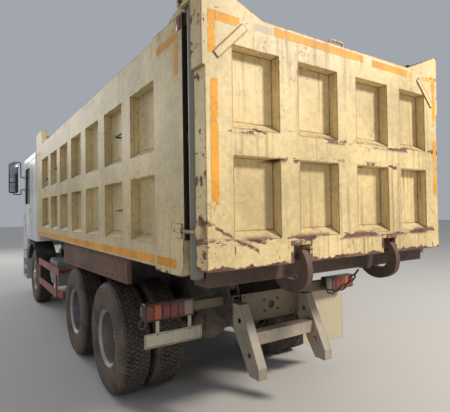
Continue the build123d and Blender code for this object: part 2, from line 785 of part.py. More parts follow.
# Front mudguards: a rolled band with an outer lip over each steered wheel, on a bracket from the frame
mudguard_radius = 690
mudguard_wall = 8
mudguard_lip = 30
mudguard_y = (870, cab_half_width - 5)
mudguard_end_z = axle_z + 300
with BuildPart() as front_mudguards:
    for y_span in both(mudguard_y):
        disc(front_axle_x, axle_z, mudguard_radius + mudguard_wall, y_span)
    for y_span in both((mudguard_y[0] - 10, mudguard_y[1] - mudguard_wall)):
        disc(front_axle_x, axle_z, mudguard_radius, y_span, Mode.SUBTRACT)
    for y_span in both((mudguard_y[0] - 10, mudguard_y[1] + 10)):
        disc(front_axle_x, axle_z, mudguard_radius - mudguard_lip, y_span, Mode.SUBTRACT)
        block((front_axle_x - 800, front_axle_x + 800), y_span, (axle_z - 800, mudguard_end_z), Mode.SUBTRACT)
    for y_span in both((frame_half_width, mudguard_y[0] + 10)):
        block((front_axle_x - 640, front_axle_x - 600), y_span, (mudguard_end_z, mudguard_end_z + 50))
write(front_mudguards, "front_mudguards")

# Knuckles: a yoke over the beam's eye, with the kingpin, the spindle and the steering arm
yoke_near = eye_radius + 7
yoke_far = yoke_near + yoke_wall
yoke_x = (front_axle_x - eye_radius, front_axle_x + eye_radius)
lower_lug = (beam_end_bottom - lug_gap - lug_height, beam_end_bottom - lug_gap)
upper_lug = (beam_end_top + lug_gap, beam_end_top + lug_gap + lug_height)
front_spindle_end_y = front_tyre_y + 60
for sign, node in ((1, "knuckle_left"), (-1, "knuckle_right")):
    with BuildPart() as knuckle:
        for lug in (lower_lug, upper_lug):
            post(front_axle_x, sign * kingpin_y, eye_radius, lug)
            block(yoke_x, sided(sign, kingpin_y, kingpin_y + yoke_far), lug)
        post(front_axle_x, sign * kingpin_y, kingpin_radius, (lower_lug[0], upper_lug[1]))
        block(yoke_x, sided(sign, kingpin_y + yoke_near, kingpin_y + yoke_far), (lower_lug[0], upper_lug[1]))
        disc(front_axle_x, axle_z, spindle_radius, sided(sign, kingpin_y + yoke_far, front_spindle_end_y))
        across(
            [(front_axle_x + 10, lower_lug[0]), (front_axle_x + 10, lower_lug[1]), (front_axle_x - 50, lower_lug[1]),
             (front_axle_x - arm_length - 30, lower_lug[0] + 30), (front_axle_x - arm_length - 30, lower_lug[0])],
            sided(sign, arm_y - 20, arm_y + 30),
        )
    write(knuckle, node)

rod_x = front_axle_x - arm_length
rod_end_radius = 28
with BuildPart() as tie_rod:
    disc(rod_x, tie_rod_z, tie_rod_radius, (-arm_y, arm_y))
    for y in (arm_y, -arm_y):
        post(rod_x, y, rod_end_radius, (tie_rod_z - tie_rod_radius - 4, tie_rod_z + tie_rod_radius + 4))
write(tie_rod, "tie_rod")


def tyre(x, y):
    """One tyre, its middle plane at y, with chamfered shoulders and bulging walls."""
    half = tyre_width / 2
    shoulder_radius = tyre_radius - tyre_shoulder
    turned(
        (x, 0, axle_z),
        [(bead_radius, y - half + bead_inset), (rim_radius, y - half + flange_inset), (rim_radius + 90, y - half),
         (shoulder_radius, y - half + 8), (tyre_radius - tyre_crown, y - half + tyre_shoulder),
         (tyre_radius, y - half / 3), (tyre_radius, y + half / 3),
         (tyre_radius - tyre_crown, y + half - tyre_shoulder), (shoulder_radius, y + half - 8),
         (rim_radius + 90, y + half), (rim_radius, y + half - flange_inset), (bead_radius, y + half - bead_inset)],
    )


def rim(x, y, face_y, lean):
    """One rim: its barrel round y, and a disc with hand holes whose flat face is at face_y.

    The disc leans from its flat towards the barrel, along +Y where lean is 1 and along -Y where it is -1.
    """
    half = tyre_width / 2
    inner = bead_radius - rim_wall
    turned(
        (x, 0, axle_z),
        [(inner, y - half + bead_inset + 2), (rim_radius, y - half + flange_inset - 2),
         (rim_radius, y - half + flange_inset), (bead_radius, y - half + bead_inset),
         (bead_radius, y + half - bead_inset), (rim_radius, y + half - flange_inset),
         (rim_radius, y + half - flange_inset + 2), (inner, y + half - bead_inset - 2)],
    )
    back_y = face_y + lean * disc_wall
    turned(
        (x, 0, axle_z),
        [(disc_bore_radius, face_y), (disc_flat_radius, face_y), (inner + 2, face_y + lean * disc_dish),
         (inner + 2, back_y + lean * disc_dish), (disc_flat_radius, back_y), (disc_bore_radius, back_y)],
    )
    through = disc_dish + disc_wall + 5
    with BuildSketch(Plane.XZ.offset(-face_y - through)) as holes:
        with Locations((x, axle_z)):
            with PolarLocations(hand_hole_circle, hand_holes):
                Circle(hand_hole_radius)
    extrude(holes.sketch, amount=2 * through, mode=Mode.SUBTRACT)


def hub(x, sign, face_y, inner_y, spindle_y, cap_y):
    """A hub on its spindle: the flange behind the discs, the barrel through them and the closed cap."""
    bore = spindle_radius + running_gap
    flange_y = face_y - hub_flange_wall
    outline = [
        (bore, inner_y), (hub_cap_radius, inner_y), (hub_cap_radius, flange_y), (disc_flat_radius, flange_y),
        (disc_flat_radius, face_y), (disc_bore_radius + 1, face_y), (disc_bore_radius + 1, face_y + 2 * disc_wall + 8),
        (hub_barrel_radius, face_y + 2 * disc_wall + 22), (hub_barrel_radius, cap_y - 30),
        (hub_cap_radius, cap_y - 12), (hub_cap_radius - 12, cap_y), (0, cap_y), (0, spindle_y + rest_gap),
        (bore, spindle_y + rest_gap),
    ]
    turned((x, 0, axle_z), [(radius, sign * y) for radius, y in outline])


def drum(x, sign, face_y):
    """A brake drum behind a hub's flange."""
    mouth_y = face_y - drum_length
    outline = [
        (disc_flat_radius - 6, face_y - 6), (drum_radius, face_y - 14), (drum_radius, mouth_y),
        (drum_radius + 8, mouth_y), (drum_radius + 8, mouth_y - 24), (drum_radius - drum_wall, mouth_y - 24),
        (drum_radius - drum_wall, face_y - 34), (disc_flat_radius - 6, face_y - hub_flange_wall + 2),
    ]
    turned((x, 0, axle_z), [(radius, sign * y) for radius, y in outline])


# Wheels: twin tyres on the drive axles, their two rims bolted face to face on one hub
for x, label in ((drive_axle_x, "drive"), (tail_axle_x, "tail")):
    for sign, side_name in ((1, "left"), (-1, "right")):
        with BuildPart() as tyres:
            tyre(x, sign * outer_tyre_y)
            tyre(x, sign * inner_tyre_y)
        write(tyres, label + "_tyres_" + side_name)
        with BuildPart() as rims:
            rim(x, sign * outer_tyre_y, sign * dual_y, sign)
            rim(x, sign * inner_tyre_y, sign * dual_y, -sign)
            hub(x, sign, dual_y - disc_wall, dual_y - 120, spindle_end_y, spindle_end_y + 30)
            drum(x, sign, dual_y - disc_wall)
        write(rims, label + "_rims_" + side_name)

# Single front wheels, whose discs bulge outwards
front_face_y = front_tyre_y + front_disc_offset
for sign, side_name in ((1, "left"), (-1, "right")):
    with BuildPart() as front_tyre:
        tyre(front_axle_x, sign * front_tyre_y)
    write(front_tyre, "front_tyre_" + side_name)
    with BuildPart() as front_rim:
        rim(front_axle_x, sign * front_tyre_y, sign * (front_face_y + disc_wall), -sign)
        hub(
            front_axle_x, sign, front_face_y, kingpin_y + yoke_far + lug_gap, front_spindle_end_y,
            front_face_y + 94,
        )
    write(front_rim, "front_rim_" + side_name)

# Bed floor: plate, rear sill, crossmembers, long beams with the pivot lugs, and the tailgate hooks
floor_rear_x = gate_x + gate_depth + gate_seal_gap
long_beam_y = (lug_y - lug_width / 2, lug_y + lug_width / 2)
with BuildPart() as bed_floor:
    block((floor_rear_x, bed_front_x - skin), (-side_inner_y, side_inner_y), (under_floor, floor_top))
    block((floor_rear_x, floor_rear_x + sill_length), (-side_inner_y, side_inner_y), (sill_bottom, under_floor))
    for y_span in both((hook_y + 60, side_inner_y - 60)) + ((60 - hook_y, hook_y - 60),):
        block((floor_rear_x + 14, floor_rear_x + sill_length + 1), y_span, (sill_bottom + 14, under_floor - 14), Mode.SUBTRACT)
    for i in range(floor_beams):
        x = floor_rear_x + first_floor_beam + i * floor_beam_pitch
        block(
            (x - floor_beam_width / 2, x + floor_beam_width / 2), (-side_inner_y, side_inner_y),
            (floor_beam_bottom, under_floor),
        )
    for y_span in both(long_beam_y):
        block((pivot_x, bed_front_x - 60), y_span, (long_beam_bottom, floor_beam_bottom + 2))
        disc(pivot_x, pivot_z, lug_radius, y_span)
        block((pivot_x - lug_radius, pivot_x + lug_radius), y_span, (pivot_z, floor_beam_bottom + 2))
        block((floor_rear_x, pivot_x + 100), y_span, (floor_beam_bottom - 80, under_floor))
        disc(pivot_x, pivot_z, pivot_pin_radius + running_gap, y_span, Mode.SUBTRACT)
    block(
        (bed_front_x - recess_foot_depth, bed_front_x + 1), (-recess_half_width, recess_half_width),
        (floor_beam_bottom - 110, floor_top + 1), Mode.SUBTRACT,
    )
    # Hooks that hold the tailgate's foot: a bent claw each, on a boss
    for y_span in both((hook_y - hook_wall / 2, hook_y + hook_wall / 2)):
        with BuildSketch(Plane.XZ.offset(-max(y_span))) as claw:
            with BuildLine():
                Line((gate_x + 150, 1400), (gate_x + 230, 1400))
                Line((gate_x + 230, 1400), (gate_x + 250, 1300))
                ThreePointArc((gate_x + 250, 1300), (gate_x + 90, 1236), (gate_x - 55, 1310))
                ThreePointArc((gate_x - 55, 1310), (gate_x - hook_overhang, 1397.2), (gate_x - 20, 1535))
                Line((gate_x - 20, 1535), (gate_x + 25, 1530))
                ThreePointArc((gate_x + 25, 1530), (gate_x - 12, 1430), (gate_x + 40, 1340))
                ThreePointArc((gate_x + 40, 1340), (gate_x + 100, 1328), (gate_x + 150, 1345))
                Line((gate_x + 150, 1345), (gate_x + 150, 1400))
            make_face()
        extrude(claw.sketch, amount=hook_wall)
        disc(gate_x + 178, 1345, 34, (min(y_span) - 12, max(y_span) + 12))
write(bed_floor, "bed_floor")

# Bed sides: a skin with a frame of ribs, seven bays in two rows, plain plates at both ends
bays = []
for i in range(posts + 1):
    start = first_bay if i == 0 else first_post + (i - 1) * post_pitch + post_width / 2
    end = front_plate if i == posts else first_post + i * post_pitch - post_width / 2
    bays.append((gate_x + start, gate_x + end))
tube_x = gate_x + gate_depth + gate_seal_gap + corner_tube_radius
side_rear_x = tube_x + corner_tube_radius + plate_gap
tube_y = bed_half_width - corner_tube_radius
strap_y = (side_inner_y, bed_half_width - 22)
rung_radius = 9
rung_reach = 190
rung_foot_y = side_inner_y + skin - 3
rung_outer_y = bed_half_width - 14
# Rungs on each side: which bay, how far into it, and the height
rungs = ((1, 40, 2510), (1, 40, 1830), (5, 120, 2510), (5, 120, 1830), (6, 200, 2410), (6, 200, 1670))
lock_y = bed_half_width + 6 + lock_pin_radius
torn_corner = [
    (side_rear_x - 20, rear_plate_bottom - 1), (side_rear_x - 20, 1600), (side_rear_x + 12, 1640),
    (side_rear_x + 24, 1570), (side_rear_x + 18, 1500), (side_rear_x + 34, 1440),
    (side_rear_x + 48, rear_plate_bottom - 1),
]
for sign, side_name in ((1, "left"), (-1, "right")):
    outer = sign * bed_half_width
    inner = sign * side_inner_y
    recess_y = sign * (side_inner_y + skin)
    with BuildPart() as bed_side:
        block((bays[0][0], bed_front_x), (inner, outer), (side_bottom, side_top))
        block((side_rear_x, bays[0][0] + 1), (inner, outer), (rear_plate_bottom, rear_plate_top))
        block((bays[-1][1], bed_front_x), (inner, outer), (side_bottom, front_plate_top))
        for bay in bays:
            for low, high in side_bay_heights:
                along(
                    [(outer, low), (recess_y, low + ledge_rise), (recess_y, high), (outer, high)], bay, Mode.SUBTRACT,
                )
        # Corner tube, tied to the rear plate by a strip along the inside and three straps
        post(tube_x, sign * tube_y, corner_tube_radius, (rear_plate_bottom, side_top))
        block((tube_x, side_rear_x + 1), (inner, recess_y), (rear_plate_bottom, rear_plate_top))
        for z in (rear_plate_bottom + 20, 2240, rear_plate_top - 80):
            block((tube_x, side_rear_x + 1), sided(sign, *strap_y), (z, z + 60))
        # Hinge cheek and pin of the tailgate
        across(
            [(gate_pin_x - 45, gate_pin_z + 20), (gate_pin_x - 60, side_top - 30), (gate_pin_x + 270, side_top - 30),
             (gate_pin_x + 240, side_top + 60), (gate_pin_x + 45, gate_pin_z + 20)],
            sided(sign, *cheek_y),
        )
        disc(gate_pin_x, gate_pin_z, 50, sided(sign, *cheek_y))
        disc(gate_pin_x, gate_pin_z, gate_pin_radius, sided(sign, cheek_y[0] - 5, gate_half_width + gate_arm_wall + 15))
        # Rungs: bars bent into flat loops
        for bay_number, inset, z in rungs:
            near = bays[bay_number][0] + inset
            far = near + rung_reach
            foot_y, reach_y = sign * rung_foot_y, sign * rung_outer_y
            bent_bar([(near, foot_y, z), (near, reach_y, z), (far, reach_y, z), (far, foot_y, z)], rung_radius, 24)
        # Side lock: a bracket with two holes, and its pin in front of the corner tube
        across(
            [(side_rear_x + 20, lock_z - 45), (side_rear_x + 150, lock_z - 45), (side_rear_x + 165, lock_z),
             (side_rear_x + 150, lock_z + 45), (side_rear_x + 20, lock_z + 45)],
            sided(sign, bed_half_width - 1, bed_half_width + 12),
        )
        for x in (side_rear_x + 70, side_rear_x + 120):
            disc(x, lock_z, 12, sided(sign, bed_half_width, bed_half_width + 13), Mode.SUBTRACT)
        bar((gate_x + 118, sign * lock_y, lock_z), (side_rear_x + 50, sign * lock_y, lock_z), lock_pin_radius)
        if sign == 1:
            # The left plate's lower rear corner is rusted through
            across(torn_corner, (side_inner_y + skin, bed_half_width + 1), Mode.SUBTRACT)
    write(bed_side, "bed_side_" + side_name)

# Headboard with the recess that the hoist stands in. Its back slopes, because the hoist leans as the bed rises
recess_top = hoist_eye_z + recess_headroom
headboard_wall = 86
panel_recess = 60


def recess_outline(wall):
    """The recess seen from the side, or with its wall's thickness the box round it."""
    top = recess_top + wall
    back = bed_front_x - recess_depth - wall
    foot = bed_front_x - recess_foot_depth - wall
    return [(bed_front_x, floor_top), (bed_front_x, top), (back, top), (back, recess_bend_z), (foot, floor_top)]


with BuildPart() as headboard:
    block((bed_front_x - headboard_wall, bed_front_x), (-side_inner_y, side_inner_y), (floor_top, front_plate_top))
    across(recess_outline(skin), (-recess_half_width - skin, recess_half_width + skin))
    across(recess_outline(0), (-recess_half_width, recess_half_width), Mode.SUBTRACT)
    for y_span in both((recess_half_width + 140, side_inner_y - 160)):
        for z_span in ((1700, 2250), (2400, 2950)):
            block((bed_front_x - panel_recess, bed_front_x + 1), y_span, z_span, Mode.SUBTRACT)
    for y_span in both((hoist_eye_radius - 4, hoist_eye_radius + 16)):
        across(
            [(bed_front_x - recess_depth, hoist_eye_z - 110), (bed_front_x - recess_depth, hoist_eye_z + 110),
             (hoist_x + 45, hoist_eye_z + 60), (hoist_x + 45, hoist_eye_z - 60)],
            y_span,
        )
        disc(hoist_x, hoist_eye_z, hoist_pin_radius, y_span, Mode.SUBTRACT)
write(headboard, "headboard")

# Skirts that hang under the bed's sides over the rear wheels, stiffened along their lower edge
skirt_rear_x = gate_x + 1435
skirt_front_x = gate_x + 4075
skirt_rear_bottom = side_bottom - 241
skirt_front_bottom = side_bottom - 306
skirt_y = bed_half_width - 50
skirt_wall = 8
skirt_lip = 30
with BuildPart() as bed_skirts:
    for y_span in both((skirt_y, skirt_y + skirt_wall)):
        across(
            [(skirt_rear_x, side_bottom), (skirt_rear_x, skirt_rear_bottom), (skirt_front_x, skirt_front_bottom),
             (skirt_front_x, side_bottom)],
            y_span,
        )
    for y_span in both((skirt_y - skirt_lip, skirt_y + 1)):
        across(
            [(skirt_rear_x, skirt_rear_bottom + skirt_wall), (skirt_rear_x, skirt_rear_bottom),
             (skirt_front_x, skirt_front_bottom), (skirt_front_x, skirt_front_bottom + skirt_wall)],
            y_span,
        )
        for x in (skirt_rear_x, (skirt_rear_x + skirt_front_x) / 2, skirt_front_x - skirt_wall):
            block((x, x + skirt_wall), y_span, (skirt_rear_bottom + 6, side_bottom))
write(bed_skirts, "bed_skirts")

# Tailgate: a skin with a frame of ribs, four bays in two rows, notched for the hooks
ear_inner_y = 800
ear_wall = 12
strip_wall = 8
loop_y = (-13, 131)
loop_height = 48
with BuildPart() as tailgate:
    block((gate_x, gate_x + gate_depth), (-gate_half_width, gate_half_width), (gate_bottom, gate_top))
    for y_high, y_low in gate_bays:
        for low, high in gate_bay_heights:
            across(
                [(gate_x, low), (gate_x + gate_recess, low + ledge_rise), (gate_x + gate_recess, high), (gate_x, high)],
                (y_low, y_high), Mode.SUBTRACT,
            )
    for y_span in both((hook_y - hook_notch_half, hook_y + hook_notch_half)):
        block((gate_x - 1, gate_x + gate_depth + 1), y_span, (gate_bottom - 1, hook_notch_top), Mode.SUBTRACT)
    # Hinge arms, and the side locks' discs
    for y_span in both((gate_half_width, gate_half_width + gate_arm_wall)):
        across(
            [(gate_x, gate_top - 365), (gate_x + gate_depth, gate_top - 365), (gate_x + gate_depth, rear_plate_top + 14),
             (gate_pin_x, gate_pin_z - 54), (gate_pin_x + 20, gate_pin_z + 30), (gate_pin_x - 30, gate_pin_z + 52),
             (gate_x, gate_pin_z + 50)],
            y_span,
        )
        disc(gate_pin_x, gate_pin_z, 55, y_span)
        disc(gate_pin_x, gate_pin_z, gate_pin_radius + running_gap, y_span, Mode.SUBTRACT)
        disc(gate_x + gate_depth / 2, lock_z, 46, y_span)
    # Ears between the arms and the top rail, and a diagonal strip across each upper corner
    for sign in (1, -1):
        along(
            [(sign * ear_inner_y, gate_top), (sign * gate_half_width, gate_top), (sign * gate_half_width, gate_pin_z + 50)],
            (gate_x, gate_x + ear_wall),
        )
        along(
            [(sign * 930, gate_top - 95), (sign * 965, gate_top - 60), (sign * 1182, gate_top - 275),
             (sign * 1147, gate_top - 310)],
            (gate_x - strip_wall, gate_x + 1),
        )
    # Lifting loop on the top rail
    loop_x = gate_x + 40
    loop_z = gate_top + loop_height
    bent_bar(
        [(loop_x, loop_y[0], gate_top - 10), (loop_x, loop_y[0], loop_z), (loop_x, loop_y[1], loop_z),
         (loop_x, loop_y[1], gate_top - 10)],
        rung_radius, 22,
    )
write(tailgate, "tailgate")

# Hoist: barrel on its base pin, and three telescoping stages up to the eye
foot_z = tube_bottom - stage_step
with BuildPart() as hoist_barrel:
    post(hoist_x, 0, barrel_radius, (foot_z, tube_top))
    post(hoist_x, 0, barrel_radius + 12, (tube_top - 60, tube_top))
    post(hoist_x, 0, barrel_radius + 8, (foot_z, tube_bottom + 40))
    post(hoist_x, 0, barrel_radius - tube_wall, (tube_bottom, tube_top + 1), Mode.SUBTRACT)
    disc(hoist_x, hoist_base_z, 60, (-50, 50))
    block((hoist_x - 50, hoist_x + 50), (-50, 50), (hoist_base_z, foot_z + 5))
    disc(hoist_x, hoist_base_z, hoist_pin_radius + running_gap, (-51, 51), Mode.SUBTRACT)
write(hoist_barrel, "hoist_barrel")

stage_radius = barrel_radius - tube_wall - tube_gap
for number in (1, 2):
    foot = tube_bottom + stage_step / 2 * number
    head = tube_top + stage_step * number
    with BuildPart() as stage:
        post(hoist_x, 0, stage_radius, (foot, head))
        post(hoist_x, 0, stage_radius + tube_wall, (head - head_height, head))
        post(hoist_x, 0, stage_radius - tube_wall, (foot + rest_gap, head + 1), Mode.SUBTRACT)
    write(stage, "hoist_stage_" + str(number))
    stage_radius = stage_radius - tube_wall - tube_gap

rod_top = tube_top + stage_step * 3
with BuildPart() as hoist_rod:
    post(hoist_x, 0, stage_radius, (tube_bottom + stage_step * 1.5, rod_top))
    post(hoist_x, 0, 38, (rod_top, hoist_eye_z - 40))
    disc(hoist_x, hoist_eye_z, hoist_eye_radius, (-36, 36))
    disc(hoist_x, hoist_eye_z, hoist_pin_radius, (-37, 37), Mode.SUBTRACT)
write(hoist_rod, "hoist_rod")

# Cab: lofted through three plans, hollowed, then split into shell, front panel, screen and doors
inside_front_x = cab_front_x - cab_front_wall
inside_y = cab_half_width - cab_wall
inner_floor = cab_floor + cab_wall
inner_roof = cab_roof - cab_wall
screen_slope = (screen_lean - front_lean) / (cab_roof - screen_base)


def cab_plan(z, front, wall):
    """The cab's plan at a height: a panel with round corners, smaller by the wall on all sides but the front."""
    rear = cab_rear_x + wall
    with BuildSketch(Plane.XY.offset(z)) as plan:
        with Locations(((rear + front) / 2, 0)):
            Rectangle(front - rear, 2 * (cab_half_width - wall))
        fillet(plan.vertices().sort_by(Axis.X)[-2:], cab_corner - wall / 2)
        fillet(plan.vertices().sort_by(Axis.X)[:2], cab_rear_corner - wall)
    return plan.sketch


def screen_x(z):
    """The place of the screen's outer face at a height."""
    return cab_front_x - front_lean - (z - screen_base) * screen_slope


door_rear_x = door_front_x - door_length
arch_x = front_axle_x + 700
window_rear_x = door_rear_x + pillar
window_front_x = door_front_x - pillar + 10
door_outline = [
    (door_rear_x, door_bottom), (door_rear_x, door_top), (door_front_x - 190, door_top),
    (door_front_x, sill_z + 60), (door_front_x, door_bottom),
]
window_outline = [
    (window_rear_x, sill_z + 20), (window_rear_x, door_top - window_head),
    (door_front_x - 230, door_top - window_head), (window_front_x, sill_z + 100), (window_front_x, sill_z + 20),
]
screen_z = (screen_base + 60, cab_roof - 150)
screen_cut = [
    (screen_x(screen_z[1]) - 265, screen_z[1]), (cab_front_x + 100, screen_z[1]), (cab_front_x + 100, screen_z[0]),
    (screen_x(screen_z[0]) - 165, screen_z[0]),
]
front_panel_y = cab_half_width - 80
front_panel_top = screen_base - 40
with BuildPart() as cab_form:
    waist = cab_plan(screen_base, cab_front_x - front_lean, 0)
    loft([cab_plan(cab_skirt, cab_front_x, 0), waist], ruled=True)
    loft([waist, cab_plan(cab_roof, cab_front_x - screen_lean, 0)], ruled=True)
    fillet(cab_form.faces().sort_by(Axis.Z)[-1].edges(), roof_edge)
    inner_waist = cab_plan(screen_base, inside_front_x, cab_wall)
    loft([cab_plan(inner_floor, inside_front_x, cab_wall), inner_waist], ruled=True, mode=Mode.SUBTRACT)
    inner_top = cab_plan(inner_roof, cab_front_x - screen_lean - 52, cab_wall)
    loft([inner_waist, inner_top], ruled=True, mode=Mode.SUBTRACT)
    block((cab_rear_x - 1, arch_x), (-cab_half_width - 1, cab_half_width + 1), (cab_skirt - 1, cab_floor), Mode.SUBTRACT)
    block((arch_x - 1, inside_front_x), (-inside_y, inside_y), (cab_skirt - 1, cab_floor), Mode.SUBTRACT)

with BuildPart() as cab_shell:
    add(cab_form.part)
    # Tunnel over the engine, open below
    tunnel_y = (-tunnel_half_width - tunnel_wall, tunnel_half_width + tunnel_wall)
    block((cab_rear_x, inside_front_x), tunnel_y, (cab_floor, tunnel_top + tunnel_wall))
    block(
        (cab_rear_x - 1, inside_front_x), (-tunnel_half_width, tunnel_half_width), (cab_skirt - 1, tunnel_top),
        Mode.SUBTRACT,
    )
    for y_span in both((inside_y - 150, cab_half_width + 1)):
        across(door_outline, y_span, Mode.SUBTRACT)
    across(screen_cut, (-screen_half_width, screen_half_width), Mode.SUBTRACT)
    block((inside_front_x, cab_front_x + 1), (-front_panel_y, front_panel_y), (cab_skirt - 1, front_panel_top), Mode.SUBTRACT)
    # Rain gutters along the roof
    for y_span in both((cab_half_width - 2, cab_half_width + 8)):
        block((cab_rear_x + 120, door_front_x - 220), y_span, (door_top + 18, door_top + 34))
    # Ears on the cab's pivot
    for y_span in both((tunnel_half_width, tunnel_half_width + tunnel_wall)):
        across(
            [(cab_pivot_x - 45, cab_floor + 10), (cab_pivot_x - cab_ear_radius, cab_pivot_z),
             (cab_pivot_x + cab_ear_radius, cab_pivot_z), (cab_pivot_x + 45, cab_floor + 10)],
            y_span,
        )
        disc(cab_pivot_x, cab_pivot_z, cab_ear_radius, y_span)
        disc(cab_pivot_x, cab_pivot_z, cab_pin_radius + running_gap, y_span, Mode.SUBTRACT)
write(cab_shell, "cab_shell")

# Front panel with its grille: a wide recess crossed by louvres
grille_half_width = 800
grille_bottom = 1240
grille_top = 1640
grille_depth = 38
louvres = 5
louvre_height = 26
louvre_wall = 9
louvre_front_x = cab_front_x - 18
louvre_rear_x = cab_front_x - grille_depth - 2
with BuildPart() as cab_front:
    add(cab_form.part)
    block((inside_front_x, cab_front_x + 1), (-front_panel_y, front_panel_y), (cab_skirt - 1, front_panel_top), Mode.INTERSECT)
    grille_y = (-grille_half_width, grille_half_width)
    block((cab_front_x - grille_depth, cab_front_x + 1), grille_y, (grille_bottom, grille_top), Mode.SUBTRACT)
    for i in range(louvres):
        z = grille_bottom + (i + 0.5) * (grille_top - grille_bottom) / louvres
        low, high = z - louvre_height / 2, z + louvre_height / 2
        across(
            [(louvre_rear_x, high), (louvre_front_x, low), (louvre_front_x, low + louvre_wall),
             (louvre_rear_x, high + louvre_wall)],
            grille_y,
        )
    block((louvre_rear_x, louvre_front_x + 2), (-14, 14), (grille_bottom, grille_top))
write(cab_front, "cab_front")

screen_set_back = 18
with BuildPart() as windscreen:
    front_low, front_high = screen_x(screen_z[0]) - screen_set_back, screen_x(screen_z[1]) - screen_set_back
    across(
        [(front_low, screen_z[0]), (front_high, screen_z[1]), (front_high - glass_wall, screen_z[1]),
         (front_low - glass_wall, screen_z[0])],
        (-screen_half_width, screen_half_width),
    )
write(windscreen, "windscreen")

handle_z = sill_z - 110
handle_x = (door_rear_x + 50, door_rear_x + 230)
pane_y = (cab_half_width - 30, cab_half_width - 30 + glass_wall)
for sign, side_name in ((1, "left"), (-1, "right")):
    wall = sided(sign, inside_y, cab_half_width)
    with BuildPart() as door:
        with BuildSketch(Plane.XZ.offset(-max(wall))) as panel:
            with BuildLine():
                Polyline(*door_outline, close=True)
            make_face()
            offset(amount=-swing_gap, kind=Kind.INTERSECTION)
        extrude(panel.sketch, amount=cab_wall)
        across(window_outline, wall, Mode.SUBTRACT)
        # Pressed panel below the waist, and the handle in its pocket
        outer_y = cab_half_width + 1
        block(
            (door_rear_x + 60, door_front_x - 60), sided(sign, cab_half_width - 6, outer_y),
            (door_bottom + 70, sill_z - 190), Mode.SUBTRACT,
        )
        block(handle_x, sided(sign, cab_half_width - 26, outer_y), (handle_z - 35, handle_z + 35), Mode.SUBTRACT)
        block(handle_x, sided(sign, cab_half_width - 14, cab_half_width - 2), (handle_z - 14, handle_z + 14))
    write(door, "door_" + side_name)
    with BuildPart() as door_glass:
        across(window_outline, sided(sign, *pane_y))
    write(door_glass, "door_glass_" + side_name)

# Dashboard with its cowl, and the steering wheel on its column
wheel_radius = 225
wheel_rim = 14
wheel_y = 600
wheel_centre = (cab_front_x - 560, wheel_y, screen_base + 10)
dash_top = screen_base - 30
with BuildPart() as dashboard:
    across(
        [(cab_front_x - 130, dash_top - 290), (cab_front_x - 130, dash_top), (cab_front_x - 420, dash_top - 30),
         (cab_front_x - 440, dash_top - 150), (cab_front_x - 300, dash_top - 290)],
        (20 - inside_y, inside_y - 20),
    )
    across(
        [(cab_front_x - 300, dash_top - 30), (cab_front_x - 330, dash_top + 40), (cab_front_x - 420, dash_top + 10),
         (cab_front_x - 420, dash_top - 40)],
        (wheel_y - 260, wheel_y + 260),
    )
    with Locations(Plane(origin=wheel_centre, z_dir=(-0.5, 0, 1))):
        Torus(wheel_radius, wheel_rim)
        Cylinder(45, 30)
        Box(2 * wheel_radius, 28, 12)
        Box(28, 2 * wheel_radius, 12)
    bar(wheel_centre, (cab_front_x - 400, wheel_y, dash_top - 190), 26)
write(dashboard, "dashboard")

# Seats: cushion, reclined back and headrest on a pedestal
seat_y = (370, 850)
seat_x = cab_rear_x + 760
seat_z = cab_floor + 390
with BuildPart() as seats:
    for y_span in both(seat_y):
        block((seat_x, seat_x + 500), y_span, (seat_z, seat_z + 130))
        across(
            [(seat_x - 40, seat_z + 110), (seat_x - 140, seat_z + 660), (seat_x - 30, seat_z + 660),
             (seat_x + 90, seat_z + 110)],
            y_span,
        )
        across(
            [(seat_x - 150, seat_z + 655), (seat_x - 175, seat_z + 840), (seat_x - 85, seat_z + 840),
             (seat_x - 55, seat_z + 655)],
            (min(y_span) + 110, max(y_span) - 110),
        )
    for y_span in both((tunnel_half_width + tunnel_wall + 10, seat_y[1] - 60)):
        block((seat_x + 90, seat_x + 420), y_span, (inner_floor, seat_z))
write(seats, "seats")

# Mirrors: a tall round-cornered housing each side on two bent arms
mirror_x = cab_front_x - 290
mirror_half = 45
mirror_y = (cab_half_width + 130, cab_half_width + 320)
mirror_z = (cab_roof - 760, cab_roof - 80)
mirror_arm_radius = 11
mirror_foot_zs = (cab_roof - 680, cab_roof - 400)
with BuildPart() as mirrors:
    for y_span in both(mirror_y):
        block((mirror_x - mirror_half, mirror_x + mirror_half), y_span, mirror_z)
    fillet(mirrors.edges().filter_by(Axis.X), 40)
    for sign in (1, -1):
        mid_y = sign * sum(mirror_y) / 2
        arm_bend_y = sign * (mirror_y[0] - 60)
        for end_z, foot_z, away in ((mirror_z[0], mirror_foot_zs[0], -1), (mirror_z[1], mirror_foot_zs[1], 1)):
            foot_y = sided(sign, cab_half_width, cab_half_width + 6)
            block((mirror_x - 25, mirror_x + 25), foot_y, (foot_z - 30, foot_z + 30))
            bend_z = end_z + away * 30
            bent_bar(
                [(mirror_x, sign * (cab_half_width + 5), foot_z), (mirror_x, arm_bend_y, foot_z),
                 (mirror_x, arm_bend_y, bend_z), (mirror_x, mid_y, bend_z), (mirror_x, mid_y, end_z - away * 20)],
                mirror_arm_radius, 20,
            )
write(mirrors, "mirrors")
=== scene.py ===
# %% [markdown]
# # A weathered dump truck, dressed around its frame
#
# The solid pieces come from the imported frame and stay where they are. This lesson gives each of them a
# finish, and adds what is too fine for the frame: tyre tread, nuts, tapes, lenses, welds and trim.
# Lengths are in metres. +X points forward, +Y to the truck's left and +Z up.

# %% Load the frame
import math
import random

import bmesh
import bpy
from mathutils import Matrix, Vector
from mathutils.noise import noise as noise_value


